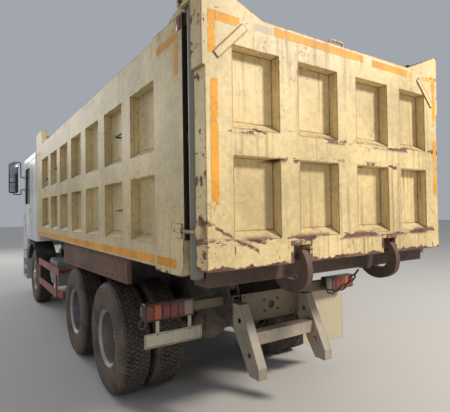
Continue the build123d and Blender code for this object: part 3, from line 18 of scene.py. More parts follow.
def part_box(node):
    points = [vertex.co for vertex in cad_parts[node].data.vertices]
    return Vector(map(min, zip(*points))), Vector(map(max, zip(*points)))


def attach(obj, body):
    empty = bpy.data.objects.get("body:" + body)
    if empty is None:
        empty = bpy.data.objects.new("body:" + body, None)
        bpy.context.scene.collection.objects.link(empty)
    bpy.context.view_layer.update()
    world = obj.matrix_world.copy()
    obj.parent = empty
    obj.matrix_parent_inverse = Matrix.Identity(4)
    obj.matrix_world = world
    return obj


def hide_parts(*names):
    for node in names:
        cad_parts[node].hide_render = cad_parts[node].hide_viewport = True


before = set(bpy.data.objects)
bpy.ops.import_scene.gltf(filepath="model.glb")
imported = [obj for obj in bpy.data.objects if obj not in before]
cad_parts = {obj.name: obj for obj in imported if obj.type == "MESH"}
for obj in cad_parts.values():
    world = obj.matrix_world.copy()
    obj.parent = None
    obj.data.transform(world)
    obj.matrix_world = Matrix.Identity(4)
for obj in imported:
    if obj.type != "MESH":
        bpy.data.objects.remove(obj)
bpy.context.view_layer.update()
TURN = 2 * math.pi
SIDES = (("left", 1), ("right", -1))
random.seed(7)


def link_new(name, data=None):
    """A new object in the scene."""
    item = bpy.data.objects.new(name, data)
    bpy.context.collection.objects.link(item)
    return item


# %% [markdown]
# ## Camera
#
# The truck was photographed from behind its left rear corner, at head height. Place, heading and lens were
# worked out from the straight edges of the bed, so the same edges fall on the same spots of the picture. A
# camera could be turned by hand until the view looks right, but then a fault in the picture could come from
# the camera as well as from a shape.

# %% Camera
# The strips across the gate's upper corners stand out behind its face by this much
GATE_STRIP = 0.008
GATE_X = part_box("tailgate")[0].x + GATE_STRIP
PHOTO_SIZE = (450, 412)
PHOTO_CENTRE = (223.1, 206.0)
FOCAL_PIXELS = 394.9
CAMERA_BEHIND_GATE = 1.955
CAMERA_Y = 2.409
CAMERA_Z = 1.805
HEADING, PITCH, ROLL = math.radians(-33.26), math.radians(0.81), math.radians(-0.88)


def make_camera():
    """A camera whose axes are built from heading, pitch and roll."""
    data = bpy.data.cameras.new("photo_camera")
    data.sensor_width = 36
    data.lens = 36 * FOCAL_PIXELS / PHOTO_SIZE[0]
    data.shift_x = (PHOTO_SIZE[0] / 2 - PHOTO_CENTRE[0]) / PHOTO_SIZE[0]
    data.clip_start, data.clip_end = 0.05, 200
    camera = link_new("photo_camera", data)
    level = math.cos(PITCH)
    forward = Vector((math.cos(HEADING) * level, math.sin(HEADING) * level, math.sin(PITCH)))
    level_right = Vector((math.sin(HEADING), -math.cos(HEADING), 0))
    level_up = level_right.cross(forward)
    right = math.cos(ROLL) * level_right + math.sin(ROLL) * level_up
    up = -math.sin(ROLL) * level_right + math.cos(ROLL) * level_up
    place = Vector((GATE_X - CAMERA_BEHIND_GATE, CAMERA_Y, CAMERA_Z))
    camera.matrix_world = Matrix.Translation(place) @ Matrix((right, up, -forward)).transposed().to_4x4()
    bpy.context.scene.camera = camera
    return camera


camera = make_camera()
print("camera at", tuple(round(c, 3) for c in camera.location))

# %% [markdown]
# ## Floor and light
#
# A plain pale floor and soft square lights show the truck. The strongest light is high behind its right
# rear, so that the left side falls into gentle shade. A sky picture could light it too, but each of these
# lights is placed and dimmed by itself.

# %% Floor and light
def studio_material(name, colour):
    """A plain matte finish for the floor, which isn't part of the object."""
    material = bpy.data.materials.new(name)
    material.use_nodes = True
    shader = material.node_tree.nodes["Principled BSDF"]
    shader.inputs["Base Color"].default_value = (*colour, 1)
    shader.inputs["Roughness"].default_value = 0.9
    return material


def add_area_light(name, place, target, size, power, colour):
    """A square soft light that faces a point."""
    data = bpy.data.lights.new(name, "AREA")
    data.size, data.energy, data.color = size, power, colour
    light = link_new(name, data)
    light.location = place
    light.rotation_euler = (Vector(target) - Vector(place)).to_track_quat("-Z", "Y").to_euler()


bpy.ops.mesh.primitive_plane_add(size=120)
floor = bpy.context.object
floor.name = "studio_floor"
floor.data.materials.append(studio_material("studio_floor", (0.62, 0.6, 0.57)))

add_area_light("key_light", (-13, -8, 9.5), (-2.5, 0, 1.2), 2.2, 2150, (1.0, 0.94, 0.83))
add_area_light("left_fill", (-7, 12, 5), (-1, 0, 1.5), 9.0, 110, (0.97, 0.97, 1.0))
add_area_light("front_fill", (13, 5, 7), (3, 0, 1.5), 6.0, 520, (1.0, 0.98, 0.95))
bpy.context.scene.view_settings.view_transform = "Standard"
world = bpy.data.worlds.new("studio_world")
bpy.context.scene.world = world
world.use_nodes = True
world.node_tree.nodes["Background"].inputs["Color"].default_value = (0.86, 0.91, 1.0, 1)
world.node_tree.nodes["Background"].inputs["Strength"].default_value = 0.42

# %% [markdown]
# ## Node helpers
#
# Every finish below is a small tree of shader nodes. These helpers keep the trees short: `feed` links a
# socket or sets a value, and the others add one kind of node and hand back its output. Nodes could also be
# placed by hand in the editor, but a script can be read, and makes the same tree each time.

# %% Node helpers
def feed(socket, value):
    """Links an output into the socket, or sets the socket's own value."""
    if isinstance(value, bpy.types.NodeSocket):
        socket.id_data.links.new(value, socket)
    else:
        socket.default_value = value


def add_node(tree, kind, settings=None, **values):
    """A node with its settings and inputs. Keyword names are the sockets' names with _ for each space."""
    node = tree.nodes.new(kind)
    for label, setting in (settings or {}).items():
        setattr(node, label, setting)
    for label, value in values.items():
        feed(node.inputs[label.replace("_", " ")], value)
    return node


def maths(operation, first, second=0.0, clamp=False):
    """One sum in the tree of whichever value is a socket."""
    tree = next(value.id_data for value in (first, second) if isinstance(value, bpy.types.NodeSocket))
    node = add_node(tree, "ShaderNodeMath", {"operation": operation, "use_clamp": clamp})
    feed(node.inputs[0], first)
    feed(node.inputs[1], second)
    return node.outputs[0]


def times(first, second, clamp=False):
    return maths("MULTIPLY", first, second, clamp)


def plus(first, second, clamp=False):
    return maths("ADD", first, second, clamp)


def minus(first, second):
    return maths("SUBTRACT", first, second)


def mix_colours(amount, first, second):
    node = add_node(amount.id_data, "ShaderNodeMix", {"data_type": "RGBA"}, Factor=amount, A=first, B=second)
    return next(out for out in node.outputs if out.type == "RGBA")


def noise(place, scale, detail, roughness, distortion=0.0):
    return add_node(
        place.id_data, "ShaderNodeTexNoise", Vector=place, Scale=scale, Detail=detail, Roughness=roughness,
        Distortion=distortion,
    ).outputs["Fac"]


def ramp_up(value, low, high):
    """0 below low, 1 above high, and smooth between. Low may be the greater one."""
    smooth = {"interpolation_type": "SMOOTHSTEP"}
    node = add_node(value.id_data, "ShaderNodeMapRange", smooth, Value=value, From_Min=low, From_Max=high)
    return node.outputs["Result"]


def object_place(tree):
    return tree.nodes.new("ShaderNodeTexCoord").outputs["Object"]


def split(vector):
    return add_node(vector.id_data, "ShaderNodeSeparateXYZ", Vector=vector).outputs


def xyz(tree):
    """The three coordinates of the point being shaded, in the truck's frame."""
    return split(object_place(tree))


def facing(tree):
    """The three parts of the direction in which the surface faces."""
    return split(tree.nodes.new("ShaderNodeNewGeometry").outputs["Normal"])


def stretch(vector, factors):
    node = add_node(vector.id_data, "ShaderNodeVectorMath", {"operation": "MULTIPLY"})
    feed(node.inputs[0], vector)
    feed(node.inputs[1], factors)
    return node.outputs[0]


def bump(height, strength, distance):
    node = add_node(height.id_data, "ShaderNodeBump", Height=height, Strength=strength, Distance=distance)
    return node.outputs["Normal"]


def new_group(name, inputs, outputs):
    """An empty shader group with its sockets. Inputs are (name, default), a number each."""
    tree = bpy.data.node_groups.new(name, "ShaderNodeTree")
    for label, default in inputs:
        socket = tree.interface.new_socket(label, in_out="INPUT", socket_type="NodeSocketFloat")
        socket.default_value = default
    for label, kind in outputs:
        tree.interface.new_socket(label, in_out="OUTPUT", socket_type="NodeSocket" + kind)
    return tree, tree.nodes.new("NodeGroupInput").outputs, tree.nodes.new("NodeGroupOutput").inputs


def place_group(tree, group, **values):
    """Puts a group into a tree and hands back its outputs."""
    return add_node(tree, "ShaderNodeGroup", {"node_tree": group}, **values).outputs


# %% [markdown]
# ## Shared effects
#
# Paint on a working truck ages in a few ways that show on every panel: it chips where edges get knocked,
# rust runs down from seams, dust settles low down and on ledges, and sun fades it in patches. Each is one
# group, used by many finishes with its own amounts. They could be pictures painted on each piece, but a
# pattern worked out from a point's place in the truck needs no unwrapping.

# %% Rust colour
def build_rust_group():
    """Mottled rust: dark scale, purple-brown sheet and orange bloom."""
    tree, inputs, outputs = new_group("rust colour", [("Scale", 1.0)], [("Color", "Color")])
    place = object_place(tree)
    broad = noise(place, times(inputs["Scale"], 7.0), 5, 0.6)
    fine = noise(place, times(inputs["Scale"], 60.0), 4, 0.65)
    sheet = mix_colours(ramp_up(broad, 0.4, 0.62), (0.1, 0.045, 0.035, 1), (0.2, 0.095, 0.07, 1))
    bloom = mix_colours(ramp_up(fine, 0.56, 0.7), sheet, (0.3, 0.13, 0.05, 1))
    feed(outputs["Color"], bloom)
    return tree


rust_group = build_rust_group()


# %% Chipped edges
def build_chips_group():
    """A mask of bare metal along edges, found by rounding the normal and seeing where it changes."""
    tree, inputs, outputs = new_group(
        "chipped edges",
        [("Width", 0.012), ("Amount", 0.5), ("Scale", 1.0)],
        [("Mask", "Float")],
    )
    place = object_place(tree)
    bevel = tree.nodes.new("ShaderNodeBevel")
    bevel.samples = 4
    feed(bevel.inputs["Radius"], inputs["Width"])
    dot = tree.nodes.new("ShaderNodeVectorMath")
    dot.operation = "DOT_PRODUCT"
    feed(dot.inputs[0], bevel.outputs["Normal"])
    feed(dot.inputs[1], tree.nodes.new("ShaderNodeNewGeometry").outputs["Normal"])
    edge = ramp_up(dot.outputs["Value"], 0.999, 0.9)
    patches = noise(place, times(inputs["Scale"], 9.0), 8, 0.7)
    near_edge = times(edge, 0.35)
    level = plus(plus(patches, near_edge), times(inputs["Amount"], 0.3))
    feed(outputs["Mask"], ramp_up(level, 0.86, 0.9))
    return tree


chips_group = build_chips_group()


# %% Rust runs
def build_runs_group():
    """Streaks that run straight down, long and thin, gathered in uneven bunches."""
    tree, inputs, outputs = new_group("rust runs", [("Amount", 0.5)], [("Mask", "Float")])
    place = object_place(tree)
    thin = noise(stretch(place, (26, 26, 0.9)), 1.0, 3, 0.6)
    bunches = noise(stretch(place, (1.7, 1.7, 0.8)), 1.0, 3, 0.5)
    level = times(ramp_up(thin, 0.48, 0.72), ramp_up(bunches, 0.42, 0.7))
    feed(outputs["Mask"], times(level, inputs["Amount"], clamp=True))
    return tree


runs_group = build_runs_group()


# %% Road dust
def build_dust_group():
    """Dust that is thick near the road, thins out upwards, and lies on faces that look up."""
    tree, inputs, outputs = new_group(
        "road dust",
        [("Top", 1.2), ("Amount", 0.6), ("Ledges", 0.4)],
        [("Mask", "Float")],
    )
    place = object_place(tree)
    height = split(place)["Z"]
    low = ramp_up(height, inputs["Top"], 0.0)
    up = times(ramp_up(facing(tree)["Z"], 0.2, 0.9), inputs["Ledges"])
    cloud = noise(place, 3.2, 7, 0.62)
    level = plus(times(low, inputs["Amount"]), up)
    feed(outputs["Mask"], times(level, ramp_up(cloud, 0.2, 0.7), clamp=True))
    return tree


dust_group = build_dust_group()


# %% Faded patches
def build_fade_group():
    """Slow and fast changes of tone, and the shallow unevenness of rolled and beaten sheet."""
    tree, inputs, outputs = new_group(
        "faded patches", [("Scale", 1.0)], [("Tone", "Float"), ("Height", "Float")]
    )
    place = object_place(tree)
    broad = noise(place, times(inputs["Scale"], 1.6), 4, 0.5)
    fine = noise(place, times(inputs["Scale"], 22.0), 6, 0.7)
    feed(outputs["Tone"], plus(times(broad, 0.6), times(fine, 0.4)))
    feed(outputs["Height"], plus(broad, times(fine, 0.12)))
    return tree


fade_group = build_fade_group()

# %% [markdown]
# ## Painted metal
#
# One function makes every painted finish. The order is the order of real life: paint, its fading, rust that
# shows through chips, rust that runs over the paint, and dust on top of all. Mixed in another order, rust
# would lie on the dust.

# %% Painted metal
def new_material(name):
    material = bpy.data.materials.new(name)
    material.use_nodes = True
    return material, material.node_tree, material.node_tree.nodes["Principled BSDF"].inputs


DUST = (0.34, 0.28, 0.21, 1)


def painted(
    name, paint, chips=0.5, chip_width=0.012, runs=0.4, dust_top=1.2, dust=0.5, ledges=0.3, gloss=0.45,
    metal=0.0, scale=1.0, rust_at=None, areas=(),
):
    """A paint that has aged. rust_at(tree) may give one more mask where the paint is gone, and each of areas
    is a mask with the colour that the piece has there instead."""
    material, tree, shader = new_material(name)
    fade = place_group(tree, fade_group, Scale=scale)
    rust = place_group(tree, rust_group, Scale=scale)
    darker = tuple(c * 0.72 for c in paint) + (1,)
    paler = tuple(min(1, c * 1.12 + 0.02) for c in paint) + (1,)
    colour = mix_colours(ramp_up(fade["Tone"], 0.35, 0.65), darker, paler)
    for area, area_colour in areas:
        colour = mix_colours(area(tree), colour, (*area_colour, 1))
    run_mask = place_group(tree, runs_group, Amount=runs)["Mask"]
    colour = mix_colours(run_mask, colour, (0.26, 0.14, 0.06, 1))
    chip_mask = place_group(tree, chips_group, Width=chip_width, Amount=chips, Scale=scale)["Mask"]
    if rust_at:
        chip_mask = maths("MAXIMUM", chip_mask, rust_at(tree))
    colour = mix_colours(chip_mask, colour, rust["Color"])
    dust_mask = place_group(tree, dust_group, Top=dust_top, Amount=dust, Ledges=ledges)["Mask"]
    colour = mix_colours(dust_mask, colour, DUST)
    feed(shader["Base Color"], colour)
    rough = plus(gloss, times(maths("MAXIMUM", chip_mask, dust_mask), 0.4), clamp=True)
    feed(shader["Roughness"], rough)
    feed(shader["Metallic"], metal)
    height = minus(fade["Height"], times(chip_mask, 0.25))
    feed(shader["Normal"], bump(height, 0.35, 0.006))
    return material


print("groups:", [group.name for group in bpy.data.node_groups])

# %% [markdown]
# ## The bed's cream paint
#
# The bed is cream, chalked by the sun, and worn through along its bottom edge, on the sloping ledges and
# round the hooks. Those places are known in the truck's own coordinates, so each is an extra mask. They
# could be painted on a picture by hand, but a mask is easier to move.

# %% Bed paint
BED_PAINT = (0.74, 0.57, 0.28)
GATE_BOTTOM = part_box("tailgate")[0].z
INNER_Y = 1.168


def between(value, low, high, soft=0.004):
    """1 where a value lies between two limits."""
    return times(ramp_up(value, low - soft, low + soft), ramp_up(value, high + soft, high - soft))


def every(*masks):
    """Where all the masks are 1."""
    result = masks[0]
    for mask in masks[1:]:
        result = times(result, mask)
    return result


def either(*masks):
    """Where any of the masks is 1."""
    result = masks[0]
    for mask in masks[1:]:
        result = maths("MAXIMUM", result, mask)
    return result


def islands(tree, scale, level, soft=0.03):
    """Ragged islands. A higher level leaves fewer of them."""
    return ramp_up(noise(object_place(tree), scale, 9, 0.72), level, level + soft)


def height_band(tree, low, high, fringe, wobble_scale):
    """1 between two heights, with a ragged fringe."""
    place = object_place(tree)
    ragged = noise(place, wobble_scale, 6, 0.65)
    z = plus(split(place)["Z"], times(minus(ragged, 0.5), fringe))
    return between(z, low, high)


def cracks(tree):
    """Hairline cracks, where a noise crosses its middle value."""
    wavy = noise(object_place(tree), 4.5, 8, 0.6, 0.6)
    line = ramp_up(maths("ABSOLUTE", minus(wavy, 0.5)), 0.0035, 0.001)
    return every(line, islands(tree, 1.8, 0.5, 0.06))


def seam_rust(tree, height, reach, level):
    """Ragged patches, longer than they are high, along a level seam."""
    z = xyz(tree)["Z"]
    long_noise = noise(stretch(object_place(tree), (1, 3.6, 11)), 1.0, 8, 0.7)
    near_seam = between(z, height - reach, height + reach, reach * 0.6)
    return every(near_seam, ramp_up(long_noise, level, level + 0.03))


# Seams along the gate's ledges: the height, and the noise above which the seam has rusted
GATE_SEAMS = ((1.615, 0.475), (2.15, 0.55), (2.31, 0.52), (2.99, 0.6))


def gate_rust(tree):
    """Rust on the bottom rail, the ledges' seams, the notches and arms, low on the left, and in cracks."""
    x, y, z = xyz(tree)
    bottom = height_band(tree, 0.0, GATE_BOTTOM + 0.02, 0.12, 9.0)
    seams = [seam_rust(tree, height, 0.026, level) for height, level in GATE_SEAMS]
    slope = minus(z, times(minus(y, 0.85), 0.5))
    wavy = plus(slope, times(noise(object_place(tree), 14.0, 6, 0.7), 0.09))
    diagonal = every(between(y, 0.86, 1.3), between(wavy, 1.575, 1.6, 0.01), islands(tree, 9.0, 0.45))
    drips = noise(stretch(object_place(tree), (30, 34, 8)), 1.0, 4, 0.7)
    drips = every(ramp_up(drips, 0.63, 0.65), between(z, 1.4, 1.6, 0.03))
    arms = every(ramp_up(maths("ABSOLUTE", y), 1.2385, 1.2395), islands(tree, 11.0, 0.56))
    from_notch = maths("ABSOLUTE", minus(maths("ABSOLUTE", y), 0.49))
    notch = every(ramp_up(from_notch, 0.105, 0.098), ramp_up(z, 1.607, 1.6), islands(tree, 12.0, 0.47))
    return either(bottom, *seams, diagonal, drips, arms, notch, cracks(tree))


def side_rust(tree):
    """The sides rust along the bottom edge of the end plate and in the corners of the bays."""
    x, y, z = xyz(tree)
    bottom = every(ramp_up(x, GATE_X + 0.75, GATE_X + 0.7), height_band(tree, 0.0, 1.392, 0.1, 14.0))
    seams = either(seam_rust(tree, 1.6, 0.02, 0.58), seam_rust(tree, 2.26, 0.02, 0.6))
    return either(bottom, every(seams, ramp_up(x, GATE_X + 0.7, GATE_X + 0.75)), cracks(tree))


def corner_gap_painted_shade(tree):
    """Painted shade: the slot between the corner tube and the end plate, coloured near black."""
    x, y, z = xyz(tree)
    return between(x, GATE_X + 0.232, GATE_X + 0.263, 0.001)


def right_mudflap(tree):
    """The one mudflap that is left hangs behind the right wheels."""
    x, y, z = xyz(tree)
    return every(ramp_up(y, -0.598, -0.602), ramp_up(x, GATE_X + 1.1165, GATE_X + 1.119))


def rungs(tree):
    """The loops of bar in the side's bays, worn to dark steel. Only they stand out in front of the panel."""
    x, y, z = xyz(tree)
    out = ramp_up(maths("ABSOLUTE", y), 1.1775, 1.1785)
    spots = [between(x, GATE_X + 1.455, GATE_X + 1.67)]
    spots += [between(x, GATE_X + 4.427, GATE_X + 4.642), between(x, GATE_X + 5.23, GATE_X + 5.442)]
    levels = [between(z, height - 0.012, height + 0.012) for height in (2.51, 1.83, 2.41, 1.67)]
    return every(out, either(*spots), either(*levels))


def corner_tube(tree):
    """The bare steel tube at each rear corner."""
    x, y, z = xyz(tree)
    return between(x, GATE_X + 0.125, GATE_X + 0.232)


def bed_inside(tree):
    """The bed's inner faces, scraped by loads."""
    x, y, z = xyz(tree)
    across = between(y, -INNER_Y, INNER_Y, 0.001)
    return every(across, between(x, GATE_X + 0.127, 1.957, 0.001), ramp_up(z, 1.49, 1.496))


def tape_ghost(tree):
    """The grey mark on the gate's top rail where a piece of tape has come off."""
    x, y, z = xyz(tree)
    spot = every(between(y, 0.72, 0.87), between(z, 2.945, 2.995), ramp_up(x, GATE_X + 0.004, GATE_X))
    return times(spot, 0.75)


SCRAPED = (0.2, 0.145, 0.1)
bed_paint = painted(
    "bed_paint", BED_PAINT, chips=0.5, chip_width=0.016, runs=0.85, dust_top=1.9, dust=0.2, ledges=0.25,
    gloss=0.5, rust_at=gate_rust, areas=[(tape_ghost, (0.36, 0.32, 0.24)), (bed_inside, SCRAPED)],
)
# Areas of the sides: rungs in dark steel, the bare corner tube, painted shade near black in the slot beside
# it, and the scraped inside
SIDE_AREAS = [
    (rungs, (0.05, 0.035, 0.028)), (corner_tube, (0.2, 0.2, 0.155)), (corner_gap_painted_shade, (0.03, 0.018, 0.012)),
    (bed_inside, SCRAPED),
]
# The sides' cream is a darker, greener copy of the bed's cream, as painted shade; their rust, chips and dust
# are made as on the gate
side_cream_painted_shade = painted(
    "side_cream_painted_shade", (0.66, 0.53, 0.27), chips=0.24, runs=0.6, dust_top=2.2, dust=0.35, gloss=0.5,
    rust_at=side_rust, areas=SIDE_AREAS,
)
# The floor and hooks are rust brown, made darker as painted shade where they lie under the gate
floor_rust_painted_shade = painted(
    "floor_rust_painted_shade", (0.09, 0.052, 0.035), chips=0.75, runs=0.3, dust_top=1.4, dust=0.3, gloss=0.7,
    areas=[(bed_inside, SCRAPED)],
)
# The rear beam is cream with rust, darkened to grey-brown as painted shade; the right mudflap keeps a paler
# cream
beam_paint_painted_shade = painted(
    "beam_paint_painted_shade", (0.19, 0.15, 0.09), chips=0.66, runs=0.6, dust_top=1.4, dust=0.4, gloss=0.6,
    areas=[(right_mudflap, (0.56, 0.48, 0.32))],
)
orange_tape = painted(
    "orange_tape", (0.88, 0.36, 0.002), chips=0.3, chip_width=0.003, dust_top=1.9, dust=0.05, ledges=0.0,
    gloss=0.6, scale=2.0,
)
print("bed paints:", [item.name for item in (bed_paint, side_cream_painted_shade, floor_rust_painted_shade, beam_paint_painted_shade)])

# %% Plain paints
# Plain paints: name, colour, chips, their width, runs, how high the dust goes, dust, ledges, gloss and metal
PLAIN_PAINTS = [
    ("bare_rust", (0.15, 0.075, 0.045), 0.75, 0.012, 0.3, 1.6, 0.3, 0.3, 0.75, 0.0),
    ("frame_black", (0.035, 0.033, 0.03), 0.25, 0.012, 0.2, 1.5, 0.75, 0.6, 0.45, 0.0),
    ("axle_iron", (0.07, 0.05, 0.04), 0.5, 0.012, 0.3, 1.3, 0.8, 0.3, 0.7, 0.0),
    ("pale_steel", (0.36, 0.31, 0.24), 0.68, 0.012, 0.7, 1.2, 0.45, 0.3, 0.45, 0.0),
    ("guard_red", (0.34, 0.055, 0.04), 0.3, 0.012, 0.2, 1.4, 0.45, 0.3, 0.45, 0.0),
    ("cab_white", (0.74, 0.74, 0.71), 0.1, 0.006, 0.2, 1.9, 0.4, 0.3, 0.28, 0.0),
    ("bumper_grey", (0.5, 0.51, 0.52), 0.2, 0.012, 0.1, 1.3, 0.55, 0.3, 0.4, 0.0),
    ("tank_grey", (0.4, 0.41, 0.41), 0.2, 0.012, 0.2, 1.4, 0.6, 0.3, 0.45, 0.0),
    ("silencer_steel", (0.25, 0.19, 0.15), 0.6, 0.012, 0.4, 1.3, 0.5, 0.3, 0.45, 0.5),
    ("plate_cream", (0.55, 0.5, 0.37), 0.3, 0.004, 0.4, 1.0, 0.3, 0.3, 0.45, 0.0),
    ("rim_silver", (0.42, 0.42, 0.43), 0.3, 0.006, 0.1, 1.2, 0.6, 0.3, 0.34, 0.8),
    ("engine_iron", (0.06, 0.06, 0.065), 0.3, 0.012, 0.4, 1.8, 0.6, 0.3, 0.45, 0.0),
    ("hoist_black", (0.04, 0.04, 0.045), 0.2, 0.012, 0.4, 1.5, 0.4, 0.3, 0.45, 0.0),
]
paints = {row[0]: painted(*row) for row in PLAIN_PAINTS}
axle_iron, bare_rust, pale_steel = (paints[name] for name in ("axle_iron", "bare_rust", "pale_steel"))
print("plain paints:", len(paints))


# %% Rubber, plastic, glass, chrome
def rubber(name, tint, dust):
    """Tyre rubber: dark, matt, with dried mud that is thickest on the sidewall."""
    material, tree, shader = new_material(name)
    place = object_place(tree)
    cloud = noise(place, 6.0, 8, 0.65)
    grit = noise(place, 90.0, 4, 0.6)
    wall = ramp_up(maths("ABSOLUTE", facing(tree)["Y"]), 0.3, 0.75)
    reach = plus(0.25, times(wall, 0.75))
    mud = times(times(ramp_up(cloud, 0.3, 0.62), dust), reach)
    colour = mix_colours(mud, tint, (0.15, 0.105, 0.07, 1))
    speck = times(ramp_up(grit, 0.5, 0.64), 0.5)
    feed(shader["Base Color"], mix_colours(speck, colour, (0.24, 0.2, 0.15, 1)))
    feed(shader["Roughness"], plus(0.65, times(mud, 0.3)))
    feed(shader["Normal"], bump(plus(cloud, times(grit, 0.3)), 0.5, 0.003))
    return material


def moulded(name, colour, rough=0.5, dust=0.3, grain=260.0):
    """Plastic with a leather-like moulding grain under a film of dust."""
    material, tree, shader = new_material(name)
    place = object_place(tree)
    film = times(ramp_up(noise(place, 4.0, 6, 0.6), 0.35, 0.75), dust)
    feed(shader["Base Color"], mix_colours(film, (*colour, 1), DUST))
    feed(shader["Roughness"], plus(rough, times(film, 0.4)))
    feed(shader["Normal"], bump(noise(place, grain, 3, 0.5), 0.15, 0.001))
    return material


def glazing(name, tint, film=0.25):
    """Tinted glass behind a film of dust, dark enough to hide most of the cab."""
    material, tree, shader = new_material(name)
    place = object_place(tree)
    dirt = times(ramp_up(noise(place, 3.0, 7, 0.65), 0.4, 0.8), film)
    feed(shader["Base Color"], mix_colours(dirt, (*tint, 1), DUST))
    feed(shader["Roughness"], plus(0.06, times(dirt, 0.5)))
    shader["Alpha"].default_value = 0.55
    return material


def lens(name, colour, rough=0.15):
    """A moulded lamp lens with fine vertical flutes."""
    material, tree, shader = new_material(name)
    place = object_place(tree)
    flutes = maths("SINE", times(split(place)["Y"], 900.0))
    film = times(noise(place, 14.0, 5, 0.6), 0.22)
    feed(shader["Base Color"], mix_colours(film, (*colour, 1), DUST))
    feed(shader["Roughness"], plus(rough, times(film, 0.5)))
    feed(shader["Normal"], bump(flutes, 0.25, 0.0006))
    return material


def bright_metal(name, colour, rough):
    """Bare or chromed metal with faint smears."""
    material, tree, shader = new_material(name)
    smear = noise(stretch(object_place(tree), (30, 30, 4)), 1.0, 5, 0.6)
    feed(shader["Base Color"], mix_colours(ramp_up(smear, 0.55, 0.8), (*colour, 1), (0.3, 0.26, 0.22, 1)))
    feed(shader["Roughness"], plus(rough, times(smear, 0.25)))
    shader["Metallic"].default_value = 1.0
    return material


def woven(name, colour):
    """Seat cloth: a fine over-and-under weave, made of two crossed waves."""
    material, tree, shader = new_material(name)
    x, y, z = xyz(tree)
    across = maths("SINE", times(y, 1400.0))
    along = maths("SINE", times(plus(x, z), 1400.0))
    weave = times(across, along)
    paler = tuple(c * 1.8 for c in colour) + (1,)
    feed(shader["Base Color"], mix_colours(ramp_up(weave, -1.0, 1.0), (*colour, 1), paler))
    feed(shader["Normal"], bump(weave, 0.4, 0.001))
    shader["Roughness"].default_value = 0.9
    shader["Sheen Weight"].default_value = 0.3
    return material


tyre_rubber = rubber("tyre_rubber", (0.02, 0.019, 0.018, 1), 0.85)
black_plastic = moulded("black_plastic", (0.022, 0.022, 0.024))
window_glass = glazing("window_glass", (0.02, 0.026, 0.03))
# The red, orange and pale lens colours are darkened as painted shade, for tail lamps that sit in shade; the
# markers and reflectors share these finishes
red_lens = lens("red_lens", (0.17, 0.003, 0.004))
orange_lens = lens("orange_lens", (0.4, 0.075, 0.006))
white_lens = lens("white_lens", (0.24, 0.2, 0.17))
clear_lens = lens("clear_lens", (0.6, 0.63, 0.66), 0.08)
hoist_chrome = bright_metal("hoist_chrome", (0.55, 0.55, 0.56), 0.18)
mirror_glass = bright_metal("mirror_glass", (0.35, 0.4, 0.45), 0.04)
seat_cloth = woven("seat_cloth", (0.03, 0.032, 0.036))
print("lens finishes:", [item.name for item in (red_lens, orange_lens, white_lens, clear_lens)])

# %% [markdown]
# ## Dressing the frame's own pieces
#
# Where a solid already has its true shape it stays, and only takes its finish. A finished copy of it could
# be made instead, but then two pieces would lie in one place. The table reads like a paint shop's list.

# %% Dress the frame
PAINT_LIST = {
    bed_paint: ["tailgate", "headboard"],
    floor_rust_painted_shade: ["bed_floor"],
    beam_paint_painted_shade: ["rear_beam"],
    side_cream_painted_shade: ["bed_side_left", "bed_side_right"],
    bare_rust: ["bed_skirts"],
    paints["frame_black"]: ["chassis_frame"],
    axle_iron: ["front_axle", "drive_axles", "rear_springs", "knuckle_left", "knuckle_right", "tie_rod"],
    pale_steel: ["underrun_guard"],
    paints["guard_red"]: ["side_guards"],
    paints["cab_white"]: ["cab_shell", "cab_front", "door_left", "door_right"],
    paints["bumper_grey"]: ["front_bumper"],
    paints["tank_grey"]: ["fuel_tank", "battery_box"],
    paints["silencer_steel"]: ["silencer"],
    paints["plate_cream"]: ["number_plate"],
    paints["engine_iron"]: ["powertrain"],
    paints["hoist_black"]: ["hoist_barrel"],
    hoist_chrome: ["hoist_stage_1", "hoist_stage_2", "hoist_rod"],
    black_plastic: ["front_mudguards", "mirrors", "dashboard", "tail_lamps"],
    window_glass: ["windscreen", "door_glass_left", "door_glass_right"],
    clear_lens: ["headlamps"],
    seat_cloth: ["seats"],
    tyre_rubber: [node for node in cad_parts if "tyre" in node],
    paints["rim_silver"]: [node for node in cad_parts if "rim" in node and "trim" not in node],
}


def dress(node, material):
    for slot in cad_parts[node].material_slots:
        slot.material = material


for material, nodes in PAINT_LIST.items():
    for node in nodes:
        dress(node, material)
undressed = set(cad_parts) - {node for nodes in PAINT_LIST.values() for node in nodes}
print("left undressed:", sorted(undressed))

# %% [markdown]
# ## Tools for small parts
#
# Small parts are drawn with vertices and faces. A form that is the same all the way round is turned from its
# outline, a casting starts as a box whose edges are rounded off, and a bar follows a line of points. Joined
# balls and cylinders would be quicker, but wouldn't have the true section.

# %% Mesh tools
def close_mesh(name, bm, smooth_below=35):
    """A mesh whose faces point outwards, shaded smooth where it bends less than the angle."""
    bmesh.ops.remove_doubles(bm, verts=bm.verts, dist=1e-6)
    bmesh.ops.recalc_face_normals(bm, faces=bm.faces)
    mesh = bpy.data.meshes.new(name)
    bm.to_mesh(mesh)
    bm.free()
    mesh.shade_smooth()
    mesh.set_sharp_from_angle(angle=math.radians(smooth_below))
    return mesh


def add_piece(name, shape, material, body, smooth_below=35):
    """Puts a mesh, or a bmesh once it is closed, into the scene, riding on a body."""
    mesh = close_mesh(name, shape, smooth_below) if isinstance(shape, bmesh.types.BMesh) else shape
    piece = link_new(name, mesh)
    mesh.materials.clear()
    mesh.materials.append(material)
    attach(piece, body)
    # Blender puts a number after a name that one of the frame's own materials has already
    return piece


